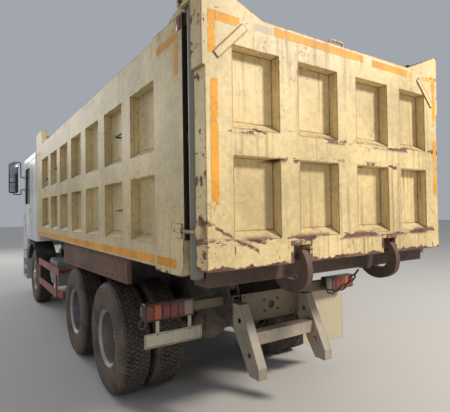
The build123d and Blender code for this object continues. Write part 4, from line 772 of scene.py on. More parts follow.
def turned(bm, outline, centre=(0, 0, 0), steps=64, sign=1):
    """Turns a closed outline of (radius, distance along the axle) about an axle across the truck, and hands
    back its vertices."""
    rings = []
    for i in range(steps):
        angle = TURN * i / steps
        rings.append([
            bm.verts.new((
                centre[0] + r * math.cos(angle), centre[1] + sign * y, centre[2] + r * math.sin(angle),
            ))
            for r, y in outline
        ])
    for i in range(steps):
        ring, after = rings[i], rings[(i + 1) % steps]
        for j in range(len(outline)):
            k = (j + 1) % len(outline)
            bm.faces.new((ring[j], ring[k], after[k], after[j]))
    return [vert for ring in rings for vert in ring]


def point_along(bm, verts, direction, place):
    """Turns what was made about the Y axis so that it points another way, and moves it into place."""
    turn = Vector((0, 1, 0)).rotation_difference(Vector(direction)).to_matrix()
    bmesh.ops.rotate(bm, verts=verts, matrix=turn)
    bmesh.ops.translate(bm, verts=verts, vec=place)


def rounded_box(bm, low, high, radius, segments=2):
    """A box between two opposite corners, with its edges rounded."""
    low, high = zip(*(sorted(pair) for pair in zip(low, high)))
    verts = bmesh.ops.create_cube(bm, size=1)["verts"]
    for vert in verts:
        vert.co = Vector([low[i] + (vert.co[i] + 0.5) * (high[i] - low[i]) for i in range(3)])
    edges = list({edge for vert in verts for edge in vert.link_edges})
    bmesh.ops.bevel(bm, geom=edges, offset=radius, segments=segments, affect="EDGES", profile=0.5)


def rod(bm, start, end, radius, steps=12):
    """A round bar between two points."""
    run = Vector(end) - Vector(start)
    middle = (Vector(start) + Vector(end)) / 2
    matrix = Matrix.Translation(middle) @ run.to_track_quat("Z", "Y").to_matrix().to_4x4()
    bmesh.ops.create_cone(
        bm, cap_ends=True, segments=steps, radius1=radius, radius2=radius, depth=run.length, matrix=matrix,
    )


def smooth_line(points, steps):
    """Points on a smooth curve through the given ones."""
    points = [Vector(p) for p in points]
    last = len(points) - 1
    result = []
    for i in range(last):
        before, here, after, beyond = (points[min(max(i + k, 0), last)] for k in (-1, 0, 1, 2))
        for s in range(steps):
            t = s / steps
            result.append(0.5 * (
                2 * here + (after - before) * t + (2 * before - 5 * here + 4 * after - beyond) * t * t
                + (3 * here - before - 3 * after + beyond) * t ** 3
            ))
    return result + [points[-1]]


def pipe(bm, points, radius, steps=8, closed=False):
    """A round bar that follows a line of points."""
    points = [Vector(p) for p in points]
    count = len(points)
    rings, side = [], None
    for i, point in enumerate(points):
        after = points[(i + 1) % count] if closed or i < count - 1 else point
        before = points[i - 1] if closed or i > 0 else point
        along = (after - before).normalized()
        if side is None:
            side = along.cross(Vector((0.31, 0.57, 0.76))).normalized()
        side = (side - along * side.dot(along)).normalized()
        other = along.cross(side)
        rings.append([
            bm.verts.new(point + radius * (math.cos(angle) * side + math.sin(angle) * other))
            for angle in (TURN * k / steps for k in range(steps))
        ])
    for i in range(count if closed else count - 1):
        ring, after = rings[i], rings[(i + 1) % count]
        for k in range(steps):
            m = (k + 1) % steps
            bm.faces.new((ring[k], ring[m], after[m], after[k]))
    if not closed:
        bm.faces.new(rings[0][::-1])
        bm.faces.new(rings[-1])


# %% [markdown]
# ## Geometry Nodes that set things out
#
# Nuts sit on a circle, tread blocks on a bigger one, rivets in rows, and chain links on a curve. Three small
# trees do all of that. Each has its sizes as named inputs, and ends in real geometry with its finish set. A
# loop in the script could place the copies too, but a tree's sizes can be changed and looked at in Blender.

# %% Geometry Nodes: the trees
def new_layout(name, inputs):
    """A geometry tree with a piece to repeat, its finish, and the named inputs (label, kind, default)."""
    tree = bpy.data.node_groups.new(name, "GeometryNodeTree")
    tree.interface.new_socket("Geometry", in_out="OUTPUT", socket_type="NodeSocketGeometry")
    for label, kind, default in [("Piece", "Object", None), ("Finish", "Material", None)] + inputs:
        socket = tree.interface.new_socket(label, in_out="INPUT", socket_type="NodeSocket" + kind)
        if default is not None:
            socket.default_value = default
    return tree, tree.nodes.new("NodeGroupInput").outputs


def end_layout(tree, inputs, points, centre=None, **turn):
    """Puts the piece on every point, makes it real, moves it to its place and sets its finish."""
    piece = add_node(tree, "GeometryNodeObjectInfo", Object=inputs["Piece"]).outputs["Geometry"]
    placed = add_node(tree, "GeometryNodeInstanceOnPoints", Points=points, Instance=piece, **turn).outputs[0]
    result = add_node(tree, "GeometryNodeRealizeInstances", Geometry=placed).outputs[0]
    if centre is not None:
        result = add_node(tree, "GeometryNodeTransform", Geometry=result, Translation=centre).outputs[0]
    finish = add_node(tree, "GeometryNodeSetMaterial", Geometry=result, Material=inputs["Finish"])
    feed(tree.nodes.new("NodeGroupOutput").inputs[0], finish.outputs[0])


def turn_by_index(tree, step, offset, axis):
    """A rotation about one axis that grows with each point's number."""
    number = tree.nodes.new("GeometryNodeInputIndex").outputs[0]
    angles = add_node(tree, "ShaderNodeCombineXYZ", **{axis: plus(times(number, step), offset)})
    rotation = tree.nodes.new("FunctionNodeEulerToRotation")
    feed(rotation.inputs[0], angles.outputs[0])
    return rotation.outputs[0]


def build_ring_layout():
    """Pieces on a circle about an axle. The piece's own +Z ends up pointing away from the axle."""
    tree, inputs = new_layout("pieces on a ring", [
        ("Count", "Int", 10), ("Radius", "Float", 0.1), ("Centre", "Vector", (0, 0, 0)),
    ])
    circle = add_node(tree, "GeometryNodeMeshCircle", Vertices=inputs["Count"], Radius=inputs["Radius"])
    upright = add_node(tree, "GeometryNodeTransform", Geometry=circle.outputs[0], Rotation=(TURN / 4, 0, 0))
    turn = turn_by_index(tree, maths("DIVIDE", -TURN, inputs["Count"]), TURN / 4, "Y")
    end_layout(tree, inputs, upright.outputs[0], inputs["Centre"], Rotation=turn)
    return tree


def build_row_layout():
    """Pieces in a straight row, each turned the same way."""
    tree, inputs = new_layout("pieces in a row", [
        ("Count", "Int", 10), ("Start", "Vector", (0, 0, 0)), ("Step", "Vector", (0.1, 0, 0)),
    ])
    line = add_node(
        tree, "GeometryNodeMeshLine", {"mode": "OFFSET"}, Count=inputs["Count"],
        Start_Location=inputs["Start"], Offset=inputs["Step"],
    )
    end_layout(tree, inputs, line.outputs[0])
    return tree


def build_chain_layout():
    """Links along a curve, each turned a quarter against the one before."""
    tree, inputs = new_layout("links on a curve", [("Path", "Object", None), ("Pitch", "Float", 0.03)])
    path = add_node(tree, "GeometryNodeObjectInfo", Object=inputs["Path"]).outputs["Geometry"]
    links = {"Curve": path, "Length": inputs["Pitch"]}
    points = add_node(tree, "GeometryNodeCurveToPoints", {"mode": "LENGTH"}, **links).outputs
    twist = add_node(tree, "FunctionNodeRotateRotation", {"rotation_space": "LOCAL"})
    feed(twist.inputs[0], points["Rotation"])
    feed(twist.inputs[1], turn_by_index(tree, TURN / 4, 0.0, "Z"))
    end_layout(tree, inputs, points["Points"], Rotation=twist.outputs[0])
    return tree


ring_layout, row_layout, chain_layout = build_ring_layout(), build_row_layout(), build_chain_layout()


def set_out(layout, piece_mesh, finish, **values):
    """Runs a tree once and keeps what it made as a plain mesh."""
    pattern = link_new("pattern", piece_mesh)
    holder = link_new("holder", bpy.data.meshes.new("holder"))
    modifier = holder.modifiers.new("layout", "NODES")
    modifier.node_group = layout
    sockets = {item.name: item.identifier for item in layout.interface.items_tree if item.in_out == "INPUT"}
    modifier[sockets["Piece"]] = pattern
    modifier[sockets["Finish"]] = finish
    for label, value in values.items():
        modifier[sockets[label]] = value
    holder.update_tag()
    graph = bpy.context.evaluated_depsgraph_get()
    mesh = bpy.data.meshes.new_from_object(holder.evaluated_get(graph))
    bpy.data.objects.remove(holder)
    bpy.data.objects.remove(pattern)
    return mesh


def joined(name, meshes, smooth_below=35):
    """Several meshes as one."""
    bm = bmesh.new()
    for mesh in meshes:
        bm.from_mesh(mesh)
    return close_mesh(name, bm, smooth_below)


print("layouts:", ring_layout.name, "/", row_layout.name, "/", chain_layout.name)

# %% [markdown]
# ## Tyres
#
# A truck tyre is a smooth casing with a tread of rubber blocks. The casing is turned from one half section,
# mirrored. The tread is one pitch of five blocks, two of them set back by half a pitch, put on a ring. Bump
# in the rubber's finish would be quicker, but the tyre's outline would stay smooth. The casing's crown lies
# lower than the frame's tyre by the height of a block and a little more, so no block stands out past it.

# %% Tyre casing and tread
TYRE_LOW, TYRE_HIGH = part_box("front_tyre_left")
TYRE_RADIUS = (TYRE_HIGH.z - TYRE_LOW.z) / 2
BLOCK_HEIGHT = 0.0105
# A block's top is flat, so its ends stand further out than its middle, by up to this much
FLAT_BLOCK_RISE = 0.0018
CROWN_RADIUS = TYRE_RADIUS - BLOCK_HEIGHT - FLAT_BLOCK_RISE
CROWN_ARCH = 0.0004
BLOCK_PITCH = 0.045
# Half of the casing's section: (radius, distance from the middle), bead first
CASING = [
    (0.2625, 0.103), (0.285, 0.1262), (0.296, 0.1315), (0.301, 0.1335), (0.307, 0.1335), (0.311, 0.1365),
    (0.345, 0.1465), (0.380, 0.1495), (0.420, 0.1487), (0.453, 0.1455), (0.457, 0.1470), (0.462, 0.1468),
    (0.466, 0.1442), (0.488, 0.1405), (0.492, 0.1420), (0.498, 0.1412), (0.503, 0.1378), (0.520, 0.1310),
    (0.532, 0.1200), (CROWN_RADIUS - 0.0012, 0.1060), (CROWN_RADIUS, 0.0500),
]
# Rows of blocks: the middle, half the width, how far it is set round, and its slant
BLOCK_ROWS = [
    (-0.090, 0.017, 0.0, 0.004),
    (-0.045, 0.020, 0.5, -0.006),
    (0.000, 0.019, 0.0, 0.006),
    (0.045, 0.020, 0.5, -0.006),
    (0.090, 0.017, 0.0, 0.004),
]


def tread_pitch():
    """One pitch of tread blocks, standing on z = 0."""
    bm = bmesh.new()
    half_length = BLOCK_PITCH * 0.41
    for middle, half_width, setback, slant in BLOCK_ROWS:
        levels = []
        for z, inset in ((-0.004, 0), (BLOCK_HEIGHT * 0.72, 0.0005), (BLOCK_HEIGHT, 0.0035)):
            ring = []
            for u, v in ((-1, -1), (1, -1), (1, 1), (-1, 1)):
                x = setback * BLOCK_PITCH + u * (half_length - inset) + v * slant
                ring.append(bm.verts.new((x, middle + v * (half_width - inset), z)))
            levels.append(ring)
        bm.faces.new(levels[0][::-1])
        bm.faces.new(levels[-1])
        for low, high in zip(levels, levels[1:]):
            for k in range(4):
                m = (k + 1) % 4
                bm.faces.new((low[k], low[m], high[m], high[k]))
    return close_mesh("tread_pitch", bm)


def tyre_mesh(name, centres):
    """One or two tyres on the same axle."""
    section = CASING + [(CROWN_RADIUS + CROWN_ARCH, 0.0)] + [(r, -y) for r, y in reversed(CASING)]
    casing = bmesh.new()
    for centre in centres:
        turned(casing, section, centre, steps=96)
    parts = [close_mesh(name + "_casing", casing)]
    pitch = tread_pitch()
    count = round(TURN * CROWN_RADIUS / BLOCK_PITCH)
    tread = {"Count": count, "Radius": CROWN_RADIUS}
    parts += [set_out(ring_layout, pitch, tyre_rubber, Centre=centre, **tread) for centre in centres]
    return joined(name, parts, 40)


# The wheels of each axle and side: the body, the tyre's node, whether it holds twins, and the side's sign
WHEELS = [
    {
        "body": "{}_wheel{}_{}".format(axle, ending, side), "tyre": "{}_tyre{}_{}".format(axle, ending, side),
        "twin": bool(ending), "sign": sign,
    }
    for axle, ending in (("front", ""), ("drive", "s"), ("tail", "s")) for side, sign in SIDES
]
TYRE_HALF_WIDTH = (TYRE_HIGH.y - TYRE_LOW.y) / 2
for wheel in WHEELS:
    low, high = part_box(wheel["tyre"])
    middle = (low + high) / 2
    centres = [middle]
    if wheel["twin"]:
        reach = (high.y - low.y) / 2 - TYRE_HALF_WIDTH
        centres = [middle + Vector((0, reach, 0)), middle - Vector((0, reach, 0))]
    wheel["axle"] = middle
    tyre = add_piece("tread_" + wheel["tyre"], tyre_mesh(wheel["tyre"], centres), tyre_rubber, wheel["body"])
    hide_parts(wheel["tyre"])
print("tyres:", len(WHEELS), "pieces,", len(tyre.data.polygons), "faces in the last")

# %% [markdown]
# ## Wheel nuts and hub bolts
#
# Ten nuts with their studs hold each wheel, and eight bolts close each rear hub. A nut is a six-sided prism
# on a round washer, so both are turned with few steps. Plain cubes would do from afar, but a nut is known by
# its six sides. The same ring that carries the tread carries the nuts.

# %% Wheel nuts
NUT_COUNT, NUT_CIRCLE, NUT_SIZE, NUT_STUD = 10, 0.166, 0.0165, 0.011
HUB_BOLT_COUNT, HUB_BOLT_CIRCLE, HUB_BOLT_SIZE, HUB_BOLT_STUD = 8, 0.068, 0.0085, 0.005
DISC_WALL = 0.013
HUB_REACH = 0.2
FRONT_DISC_Y = 1.125
DUAL_SHIFT = (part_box("tail_tyres_left")[1].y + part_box("tail_tyres_left")[0].y) / 2


def nut_mesh(size, stud, side):
    """A nut on its washer with the stud's end showing, its base at y = 0."""
    bm = bmesh.new()
    washer = [(0, 0), (size * 1.25, 0), (size * 1.25, size * 0.25), (0, size * 0.25)]
    top = size * 1.65
    nut = [(0, size * 0.2), (size, size * 0.2), (size, size * 1.45), (size * 0.82, top), (0, top)]
    stud_end = [(0, size), (stud, size), (stud, size * 2.1), (stud * 0.8, size * 2.25), (0, size * 2.25)]
    for outline, steps in ((washer, 20), (nut, 6), (stud_end, 10)):
        turned(bm, outline, steps=steps, sign=side)
    return close_mesh("nut", bm, 25)


for wheel in WHEELS:
    axle, side = wheel["axle"], wheel["sign"]
    disc_y = DUAL_SHIFT + DISC_WALL if wheel["twin"] else FRONT_DISC_Y
    circles = [(nut_mesh(NUT_SIZE, NUT_STUD, side), NUT_COUNT, NUT_CIRCLE, disc_y)]
    if wheel["twin"]:
        bolt = nut_mesh(HUB_BOLT_SIZE, HUB_BOLT_STUD, side)
        circles.append((bolt, HUB_BOLT_COUNT, HUB_BOLT_CIRCLE, DUAL_SHIFT + HUB_REACH))
    rings = [
        set_out(ring_layout, nut, axle_iron, Count=count, Radius=radius, Centre=(axle.x, side * y, axle.z))
        for nut, count, radius, y in circles
    ]
    add_piece("nuts_" + wheel["body"], joined("nuts", rings, 25), axle_iron, wheel["body"])
print("wheel nuts on", len(WHEELS), "hubs")

# %% [markdown]
# ## Reflective tapes
#
# Orange tapes run along the bed's bottom rail and round the tailgate's top. They are old: their edges are
# frayed and whole patches have come off. Each tape is a sheet of small cells, and noise decides which are
# left. A see-through pattern in the finish could do that too, but here the edges are part of the mesh. The
# table gives each tape's centre line on its face of the bed.

# %% Tapes
TAPE_THICKNESS = 0.0008
TAPE_CELL = 0.011
SIDE_Y = 1.25
# Tapes: name, face, start, end, width, and wear from 0 (whole) to 1 (gone). Points on the gate are y and z,
# and those on the sides are how far ahead of the gate, and z.
TAPES = [
    ("left_rail", "left", (0.38, 1.4655), (0.69, 1.4655), 0.057, 0.16),
    ("left_rail_long", "left", (0.73, 1.4655), (6.18, 1.4655), 0.057, 0.12),
    ("right_rail", "right", (0.40, 1.4655), (6.18, 1.4655), 0.057, 0.2),
    ("left_plate_top", "left", (0.325, 2.952), (0.66, 2.952), 0.05, 0.22),
    ("left_plate_down", "left", (0.35, 2.925), (0.35, 2.70), 0.05, 0.3),
    ("left_front_top", "left", (5.77, 2.90), (6.03, 2.90), 0.055, 0.5),
    ("left_front_down", "left", (5.80, 1.85), (5.80, 1.56), 0.05, 0.45),
    ("gate_left_low", "gate", (1.178, 1.80), (1.178, 2.59), 0.052, 0.3),
    ("gate_left_corner", "gate", (1.19, 2.74), (1.19, 2.995), 0.052, 0.24),
    ("gate_left_top", "gate", (1.163, 2.967), (0.92, 2.967), 0.055, 0.38),
    ("gate_top", "gate", (0.707, 2.976), (-0.20, 2.976), 0.055, 0.22),
    ("gate_top_right", "gate", (-0.31, 2.967), (-0.79, 2.967), 0.055, 0.26),
    ("gate_top_bits", "gate", (-0.82, 2.967), (-0.95, 2.967), 0.05, 0.55),
    ("gate_right_corner", "gate", (-1.16, 2.967), (-1.03, 2.967), 0.05, 0.35),
    ("gate_right", "gate", (-1.196, 3.0), (-1.196, 2.55), 0.05, 0.34),
    ("gate_right_low", "gate", (-1.196, 2.42), (-1.196, 1.93), 0.05, 0.42),
]


def on_face(face, u, v, lift=0.0):
    """A point on one of the bed's outer faces, lifted off it."""
    if face == "gate":
        return Vector((GATE_X - lift, u, v))
    return Vector((GATE_X + u, SIDE_Y + lift if face == "left" else -SIDE_Y - lift, v))


def add_tape(name, face, start, end, width, wear):
    """A sheet of cells along a line, with the worn ones left out, given a thickness."""
    on_gate = face == "gate"
    start, end = Vector(start), Vector(end)
    length = (end - start).length
    along = (end - start).normalized()
    across = Vector((-along.y, along.x))
    columns, rows = round(length / TAPE_CELL), max(2, round(width / TAPE_CELL))
    bm = bmesh.new()
    grid = {}
    for i in range(columns + 1):
        for j in range(rows + 1):
            shake = TAPE_CELL * (0.16 if j in (0, rows) or i in (0, columns) else 0.3)
            u = i * length / columns + random.uniform(-shake, shake)
            v = (j / rows - 0.5) * width + random.uniform(-shake, shake)
            spot = start + along * u + across * v
            grid[i, j] = bm.verts.new(on_face(face, spot.x, spot.y, TAPE_THICKNESS))
    for i in range(columns):
        for j in range(rows):
            spot = start + along * (i * TAPE_CELL) + across * (j * TAPE_CELL)
            patch = noise_value(Vector((spot.x * 5.3, spot.y * 5.3, len(name))))
            grain = noise_value(Vector((spot.x * 31, spot.y * 31, 3.7)))
            border = 0.1 if j in (0, rows - 1) else 0.0
            if 0.5 + 0.45 * patch + 0.25 * grain - border > wear:
                bm.faces.new((grid[i, j], grid[i + 1, j], grid[i + 1, j + 1], grid[i, j + 1]))
    bmesh.ops.delete(bm, geom=[vert for vert in bm.verts if not vert.link_faces], context="VERTS")
    bm.normal_update()
    outward = on_face(face, 0, 0, 1) - on_face(face, 0, 0)
    if sum(cell.normal.dot(outward) for cell in bm.faces) < 0:
        bmesh.ops.reverse_faces(bm, faces=bm.faces)
    bmesh.ops.solidify(bm, geom=bm.faces[:], thickness=TAPE_THICKNESS * 0.8)
    return add_piece("tape_" + name, bm, orange_tape, "tailgate" if on_gate else "bed", 20)


tapes = [add_tape(*row) for row in TAPES]
print("tapes:", len(tapes), "with", sum(len(tape.data.polygons) for tape in tapes), "faces")

# %% Red reflector on the left end plate
REFLECTOR_SIZE = (0.06, 0.006, 0.09)
bm = bmesh.new()
corner = on_face("left", 0.27, 2.975)
rounded_box(bm, corner, corner + Vector(REFLECTOR_SIZE), 0.0025)
add_piece("side_reflector", bm, red_lens, "bed")
print("reflector at", tuple(round(c, 3) for c in corner))

# %% [markdown]
# ## Tail lamps, number plate and wire ring
#
# Each lamp has three pockets. From the outer end they hold a red lens with an oval ring beside an orange one,
# then two red ones, then a red one beside a pale reversing light. Each lens is a rounded box of its own,
# because a flat coloured face wouldn't catch light along its edges. The plate is blank, with a dark line
# inside its edge. A wire ring hangs at the left lamp.

# %% Lamp lenses
LAMP_LOW, LAMP_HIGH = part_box("tail_lamps")
LAMP_RIM = 0.010
POCKET_WIDTH = 0.1317
LENS_GAP = 0.0015
LENS_OUT, LENS_IN = 0.004, 0.0118
# Lenses: the pocket counted from the outer end, where in its width it starts and ends, and the material
LENSES = [
    (0, 0.0, 0.49, red_lens),
    (0, 0.51, 1.0, orange_lens),
    (1, 0.0, 0.495, red_lens),
    (1, 0.505, 1.0, red_lens),
    (2, 0.0, 0.36, red_lens),
    (2, 0.38, 1.0, white_lens),
]
for side, sign in SIDES:
    for number, (pocket, start, end, glass) in enumerate(LENSES, 1):
        outer = LAMP_HIGH.y - LAMP_RIM - pocket * (POCKET_WIDTH + LAMP_RIM)
        edges = sorted(sign * (outer - part * POCKET_WIDTH) for part in (start, end))
        low = (LAMP_LOW.x - LENS_OUT, edges[0] + LENS_GAP, LAMP_LOW.z + LAMP_RIM + LENS_GAP)
        high = (LAMP_LOW.x + LENS_IN, edges[1] - LENS_GAP, LAMP_HIGH.z - LAMP_RIM - LENS_GAP)
        bm = bmesh.new()
        rounded_box(bm, low, high, 0.004)
        name = "lens_{}_{}".format(side, number)
        add_piece(name, bm, glass, "chassis")
    oval_y = sign * (LAMP_HIGH.y - LAMP_RIM - 0.032)
    centre = Vector((LAMP_LOW.x - 0.0045, oval_y, (LAMP_LOW.z + LAMP_HIGH.z) / 2))
    angles = [TURN * k / 32 for k in range(32)]
    oval = [centre + Vector((0, 0.024 * math.cos(angle), 0.036 * math.sin(angle))) for angle in angles]
    bm = bmesh.new()
    pipe(bm, oval, 0.0026, closed=True)
    add_piece("lamp_oval_" + side, bm, pale_steel, "chassis")

# %% Number plate and the ring beside it
PLATE_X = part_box("number_plate")[0].x
PLATE_LINE_X = PLATE_X + 0.0013
PLATE_MARGIN = 0.010
PLATE_Y, PLATE_Z = (0.715, 1.235), (0.730, 0.845)
LINE_HALF_WIDTH, LINE_HEIGHT = 0.0015, 0.001
line_y = (PLATE_Y[0] + PLATE_MARGIN, PLATE_Y[1] - PLATE_MARGIN)
line_z = (PLATE_Z[0] + PLATE_MARGIN, PLATE_Z[1] - PLATE_MARGIN)
strokes = [((line_y[0], z - LINE_HALF_WIDTH), (line_y[1], z + LINE_HALF_WIDTH)) for z in line_z]
strokes += [((y - LINE_HALF_WIDTH, line_z[0]), (y + LINE_HALF_WIDTH, line_z[1])) for y in line_y]
bm = bmesh.new()
for low, high in strokes:
    rounded_box(bm, (PLATE_LINE_X, *low), (PLATE_LINE_X + LINE_HEIGHT, *high), 0.0003, 1)
add_piece("plate_line", bm, black_plastic, "chassis")
bm = bmesh.new()
for y in (0.83, 1.12):
    rod(bm, (PLATE_X + 0.004, y, 0.828), (PLATE_X - 0.003, y, 0.828), 0.0075)
add_piece("plate_bolts", bm, pale_steel, "chassis")
WIRE_X, WIRE_Y, WIRE_Z = LAMP_LOW.x + 0.03, 1.246, 0.925
bm = bmesh.new()
loop = []
for k in range(24):
    angle = TURN * k / 24
    y, z = WIRE_Y + 0.028 * math.cos(angle), WIRE_Z + 0.033 * math.sin(angle)
    loop.append((WIRE_X + 0.004 * math.sin(k), y, z))
pipe(bm, loop, 0.0028, closed=True)
add_piece("wire_loop", bm, pale_steel, "chassis")
print("lenses:", 2 * len(LENSES))

# %% [markdown]
# ## Chain under the tail
#
# A slack chain hangs under the bed's tail, to the right of the middle. Its links are rounded ovals, set out
# along a curve. A simulation could hang it, but for so short a chain a given curve is enough.

# %% Chain
LINK_WIRE = 0.0075
LINK_PITCH = 0.05


def link_mesh():
    """One chain link, long in Z, flat in X and Z."""
    bm = bmesh.new()
    half = LINK_PITCH / 2 + LINK_WIRE * 0.55
    width = 0.0145
    points = []
    for k in range(20):
        angle = TURN * k / 20
        end = math.copysign(half - width, math.sin(angle))
        points.append((width * math.cos(angle), 0, end + width * math.sin(angle)))
    pipe(bm, points, LINK_WIRE, closed=True)
    return close_mesh("link", bm, 60)


def path_object(name, points):
    """A poly curve that a tree can follow."""
    curve = bpy.data.curves.new(name, "CURVE")
    curve.dimensions = "3D"
    spline = curve.splines.new("POLY")
    spline.points.add(len(points) - 1)
    for point, place in zip(spline.points, points):
        point.co = (*place, 1)
    return link_new(name, curve)


sag = [
    (GATE_X + 0.40, -0.16, 1.135), (GATE_X + 0.365, -0.19, 1.112), (GATE_X + 0.32, -0.225, 1.125),
    (GATE_X + 0.27, -0.265, 1.17), (GATE_X + 0.23, -0.295, 1.225), (GATE_X + 0.20, -0.32, 1.28),
]
path = path_object("chain_path", smooth_line(sag, 10))
chain = set_out(chain_layout, link_mesh(), axle_iron, Path=path, Pitch=LINK_PITCH)
bpy.data.objects.remove(path)
add_piece("tail_chain", chain, bare_rust, "bed")
print("chain:", len(chain.polygons), "faces")

# %% [markdown]
# ## Rivets, bolts and weld beads
#
# Round heads in rows hold the skirts, the side guards and the plate at the chassis' rear end. Each row is
# one line of the table: where it starts, the step to the next head, and which way the heads point. A weld
# bead is a thin uneven pipe round each bay, where its panel meets the ribs. A dark line in the paint would
# be simpler, but wouldn't catch the light.

# %% Rows of heads
HEAD_RADIUS = 0.011


def head_mesh(direction, radius=HEAD_RADIUS, height=0.007):
    """A low dome on the origin, pointing along a direction."""
    bm = bmesh.new()
    shoulder, crown = (radius * 0.94, height * 0.45), (radius * 0.62, height * 0.85)
    dome = turned(bm, [(0, -0.001), (radius, -0.001), shoulder, crown, (0, height)], steps=12)
    point_along(bm, dome, direction, (0, 0, 0))
    return close_mesh("head", bm, 50)


SKIRT_Y = 1.208
GUARD_Y = 1.215
END_PLATE_X = -3.3155
# Rows: name, body, how many, first head, step, direction and finish
HEAD_ROWS = [
    ("skirt_top", "bed", 16, (GATE_X + 1.53, SKIRT_Y, 1.375), (0.165, 0, 0), (0, 1, 0), bare_rust),
    ("skirt_low", "bed", 16, (GATE_X + 1.53, SKIRT_Y, 1.215), (0.165, 0, -0.004), (0, 1, 0), bare_rust),
    ("guard_top", "chassis", 5, (GATE_X + 4.56, GUARD_Y, 0.915), (0.42, 0, 0), (0, 1, 0), axle_iron),
    ("guard_low", "chassis", 5, (GATE_X + 4.56, GUARD_Y, 0.555), (0.42, 0, 0), (0, 1, 0), axle_iron),
    ("end_plate_high", "chassis", 2, (END_PLATE_X, 0.24, 1.035), (0, 0.07, 0), (-1, 0, 0), axle_iron),
    ("end_plate_low", "chassis", 2, (END_PLATE_X, 0.24, 0.825), (0, 0.07, 0), (-1, 0, 0), axle_iron),
]
for name, body, count, start, step, direction, finish in HEAD_ROWS:
    for side, sign in SIDES:
        head = head_mesh((direction[0], sign * direction[1], direction[2]))
        flipped = Vector((start[0], sign * start[1], start[2]))
        pace = Vector((step[0], sign * step[1], step[2]))
        row = set_out(row_layout, head, finish, Count=count, Start=flipped, Step=pace)
        add_piece(name + "_" + side, row, finish, body)
print("rows of heads:", 2 * len(HEAD_ROWS))

# %% Weld beads along the bays
WELD_RADIUS = 0.0045
SIDE_PANEL_Y = 1.1755
GATE_PANEL_DEPTH = 0.0775
SIDE_BAYS = [(0.717, 1.205)] + [(1.421 + 0.723 * i, 1.928 + 0.723 * i) for i in range(5)] + [(5.036, 5.655)]
SIDE_ROWS = [(1.635, 2.081), (2.313, 2.771)]
GATE_BAYS = [(1.044, 0.671), (0.496, 0.107), (-0.107, -0.496), (-0.671, -1.044)]
GATE_ROWS = [(1.68, 2.145), (2.369, 2.820)]


def weld(bm, start, end, seed):
    """An uneven bead laid along a seam."""
    start, end = Vector(start), Vector(end)
    steps = max(2, round((end - start).length / 0.03))
    points = []
    for k in range(steps + 1):
        sway = 0.0009 * noise_value(Vector((k * 0.7, seed, 0)))
        points.append(start.lerp(end, k / steps) + Vector((sway, sway, sway)))
    pipe(bm, points, WELD_RADIUS, 6)


def weld_bay(bm, corners, seed):
    for k in range(4):
        weld(bm, corners[k], corners[(k + 1) % 4], seed + k)


for side, sign in SIDES:
    bm = bmesh.new()
    y = sign * SIDE_PANEL_Y
    for number, (x0, x1) in enumerate(SIDE_BAYS):
        for z0, z1 in SIDE_ROWS:
            corners = [(GATE_X + x, y, z) for x, z in ((x0, z0), (x1, z0), (x1, z1), (x0, z1))]
            weld_bay(bm, corners, number * 7 + z0)
    add_piece("welds_" + side, bm, side_cream_painted_shade, "bed", 60)
bm = bmesh.new()
for number, (y0, y1) in enumerate(GATE_BAYS):
    for z0, z1 in GATE_ROWS:
        corners = [(GATE_X + GATE_PANEL_DEPTH, y, z) for y, z in ((y0, z0), (y1, z0), (y1, z1), (y0, z1))]
        weld_bay(bm, corners, number * 5 + z0)
add_piece("welds_gate", bm, bed_paint, "tailgate", 60)
print("bays welded:", 4 * len(SIDE_BAYS) + 2 * len(GATE_BAYS))

# %% [markdown]
# ## Cab trim
#
# Rubber seals frame the glass, two wipers rest on the screen, and the mirrors get their glass on the rear
# face. Small orange lamps mark the roof and the sides. What lies on the screen could be fitted by eye, but
# a function that gives the screen's plane leaves no gaps.

# %% Seals
SCREEN_SLOPE = 0.23636
SCREEN_FOOT_X, SCREEN_FOOT_Z = 4.2435, 1.96


def screen_x(z):
    """The screen plane's place at a height."""
    return SCREEN_FOOT_X - (z - SCREEN_FOOT_Z) * SCREEN_SLOPE


def round_corners(points, radius, steps=4):
    """A closed line with each corner replaced by a short curve."""
    result = []
    for i, here in enumerate(points):
        here = Vector(here)
        before = (Vector(points[i - 1]) - here).normalized()
        after = (Vector(points[(i + 1) % len(points)]) - here).normalized()
        first, last = here + before * radius, here + after * radius
        for k in range(steps + 1):
            t = k / steps
            result.append(first.lerp(here, t).lerp(here.lerp(last, t), t))
    return result


bm = bmesh.new()
screen = ((-1.066, 2.026), (1.066, 2.026), (1.066, 2.904), (-1.066, 2.904))
corners = [(screen_x(z) - 0.004, y, z) for y, z in screen]
pipe(bm, round_corners(corners, 0.05), 0.013, closed=True)
add_piece("seal_screen", bm, black_plastic, "cab", 60)
for side, sign in SIDES:
    bm = bmesh.new()
    window = [(3.0665, 2.033), (3.0665, 2.807), (3.702, 2.807), (3.8305, 2.113), (3.8305, 2.033)]
    pipe(bm, round_corners([(x, sign * 1.2255, z) for x, z in window], 0.025), 0.0085, closed=True)
    add_piece("seal_door_" + side, bm, black_plastic, "door_" + side, 60)
print("seals:", 1 + len(SIDES))

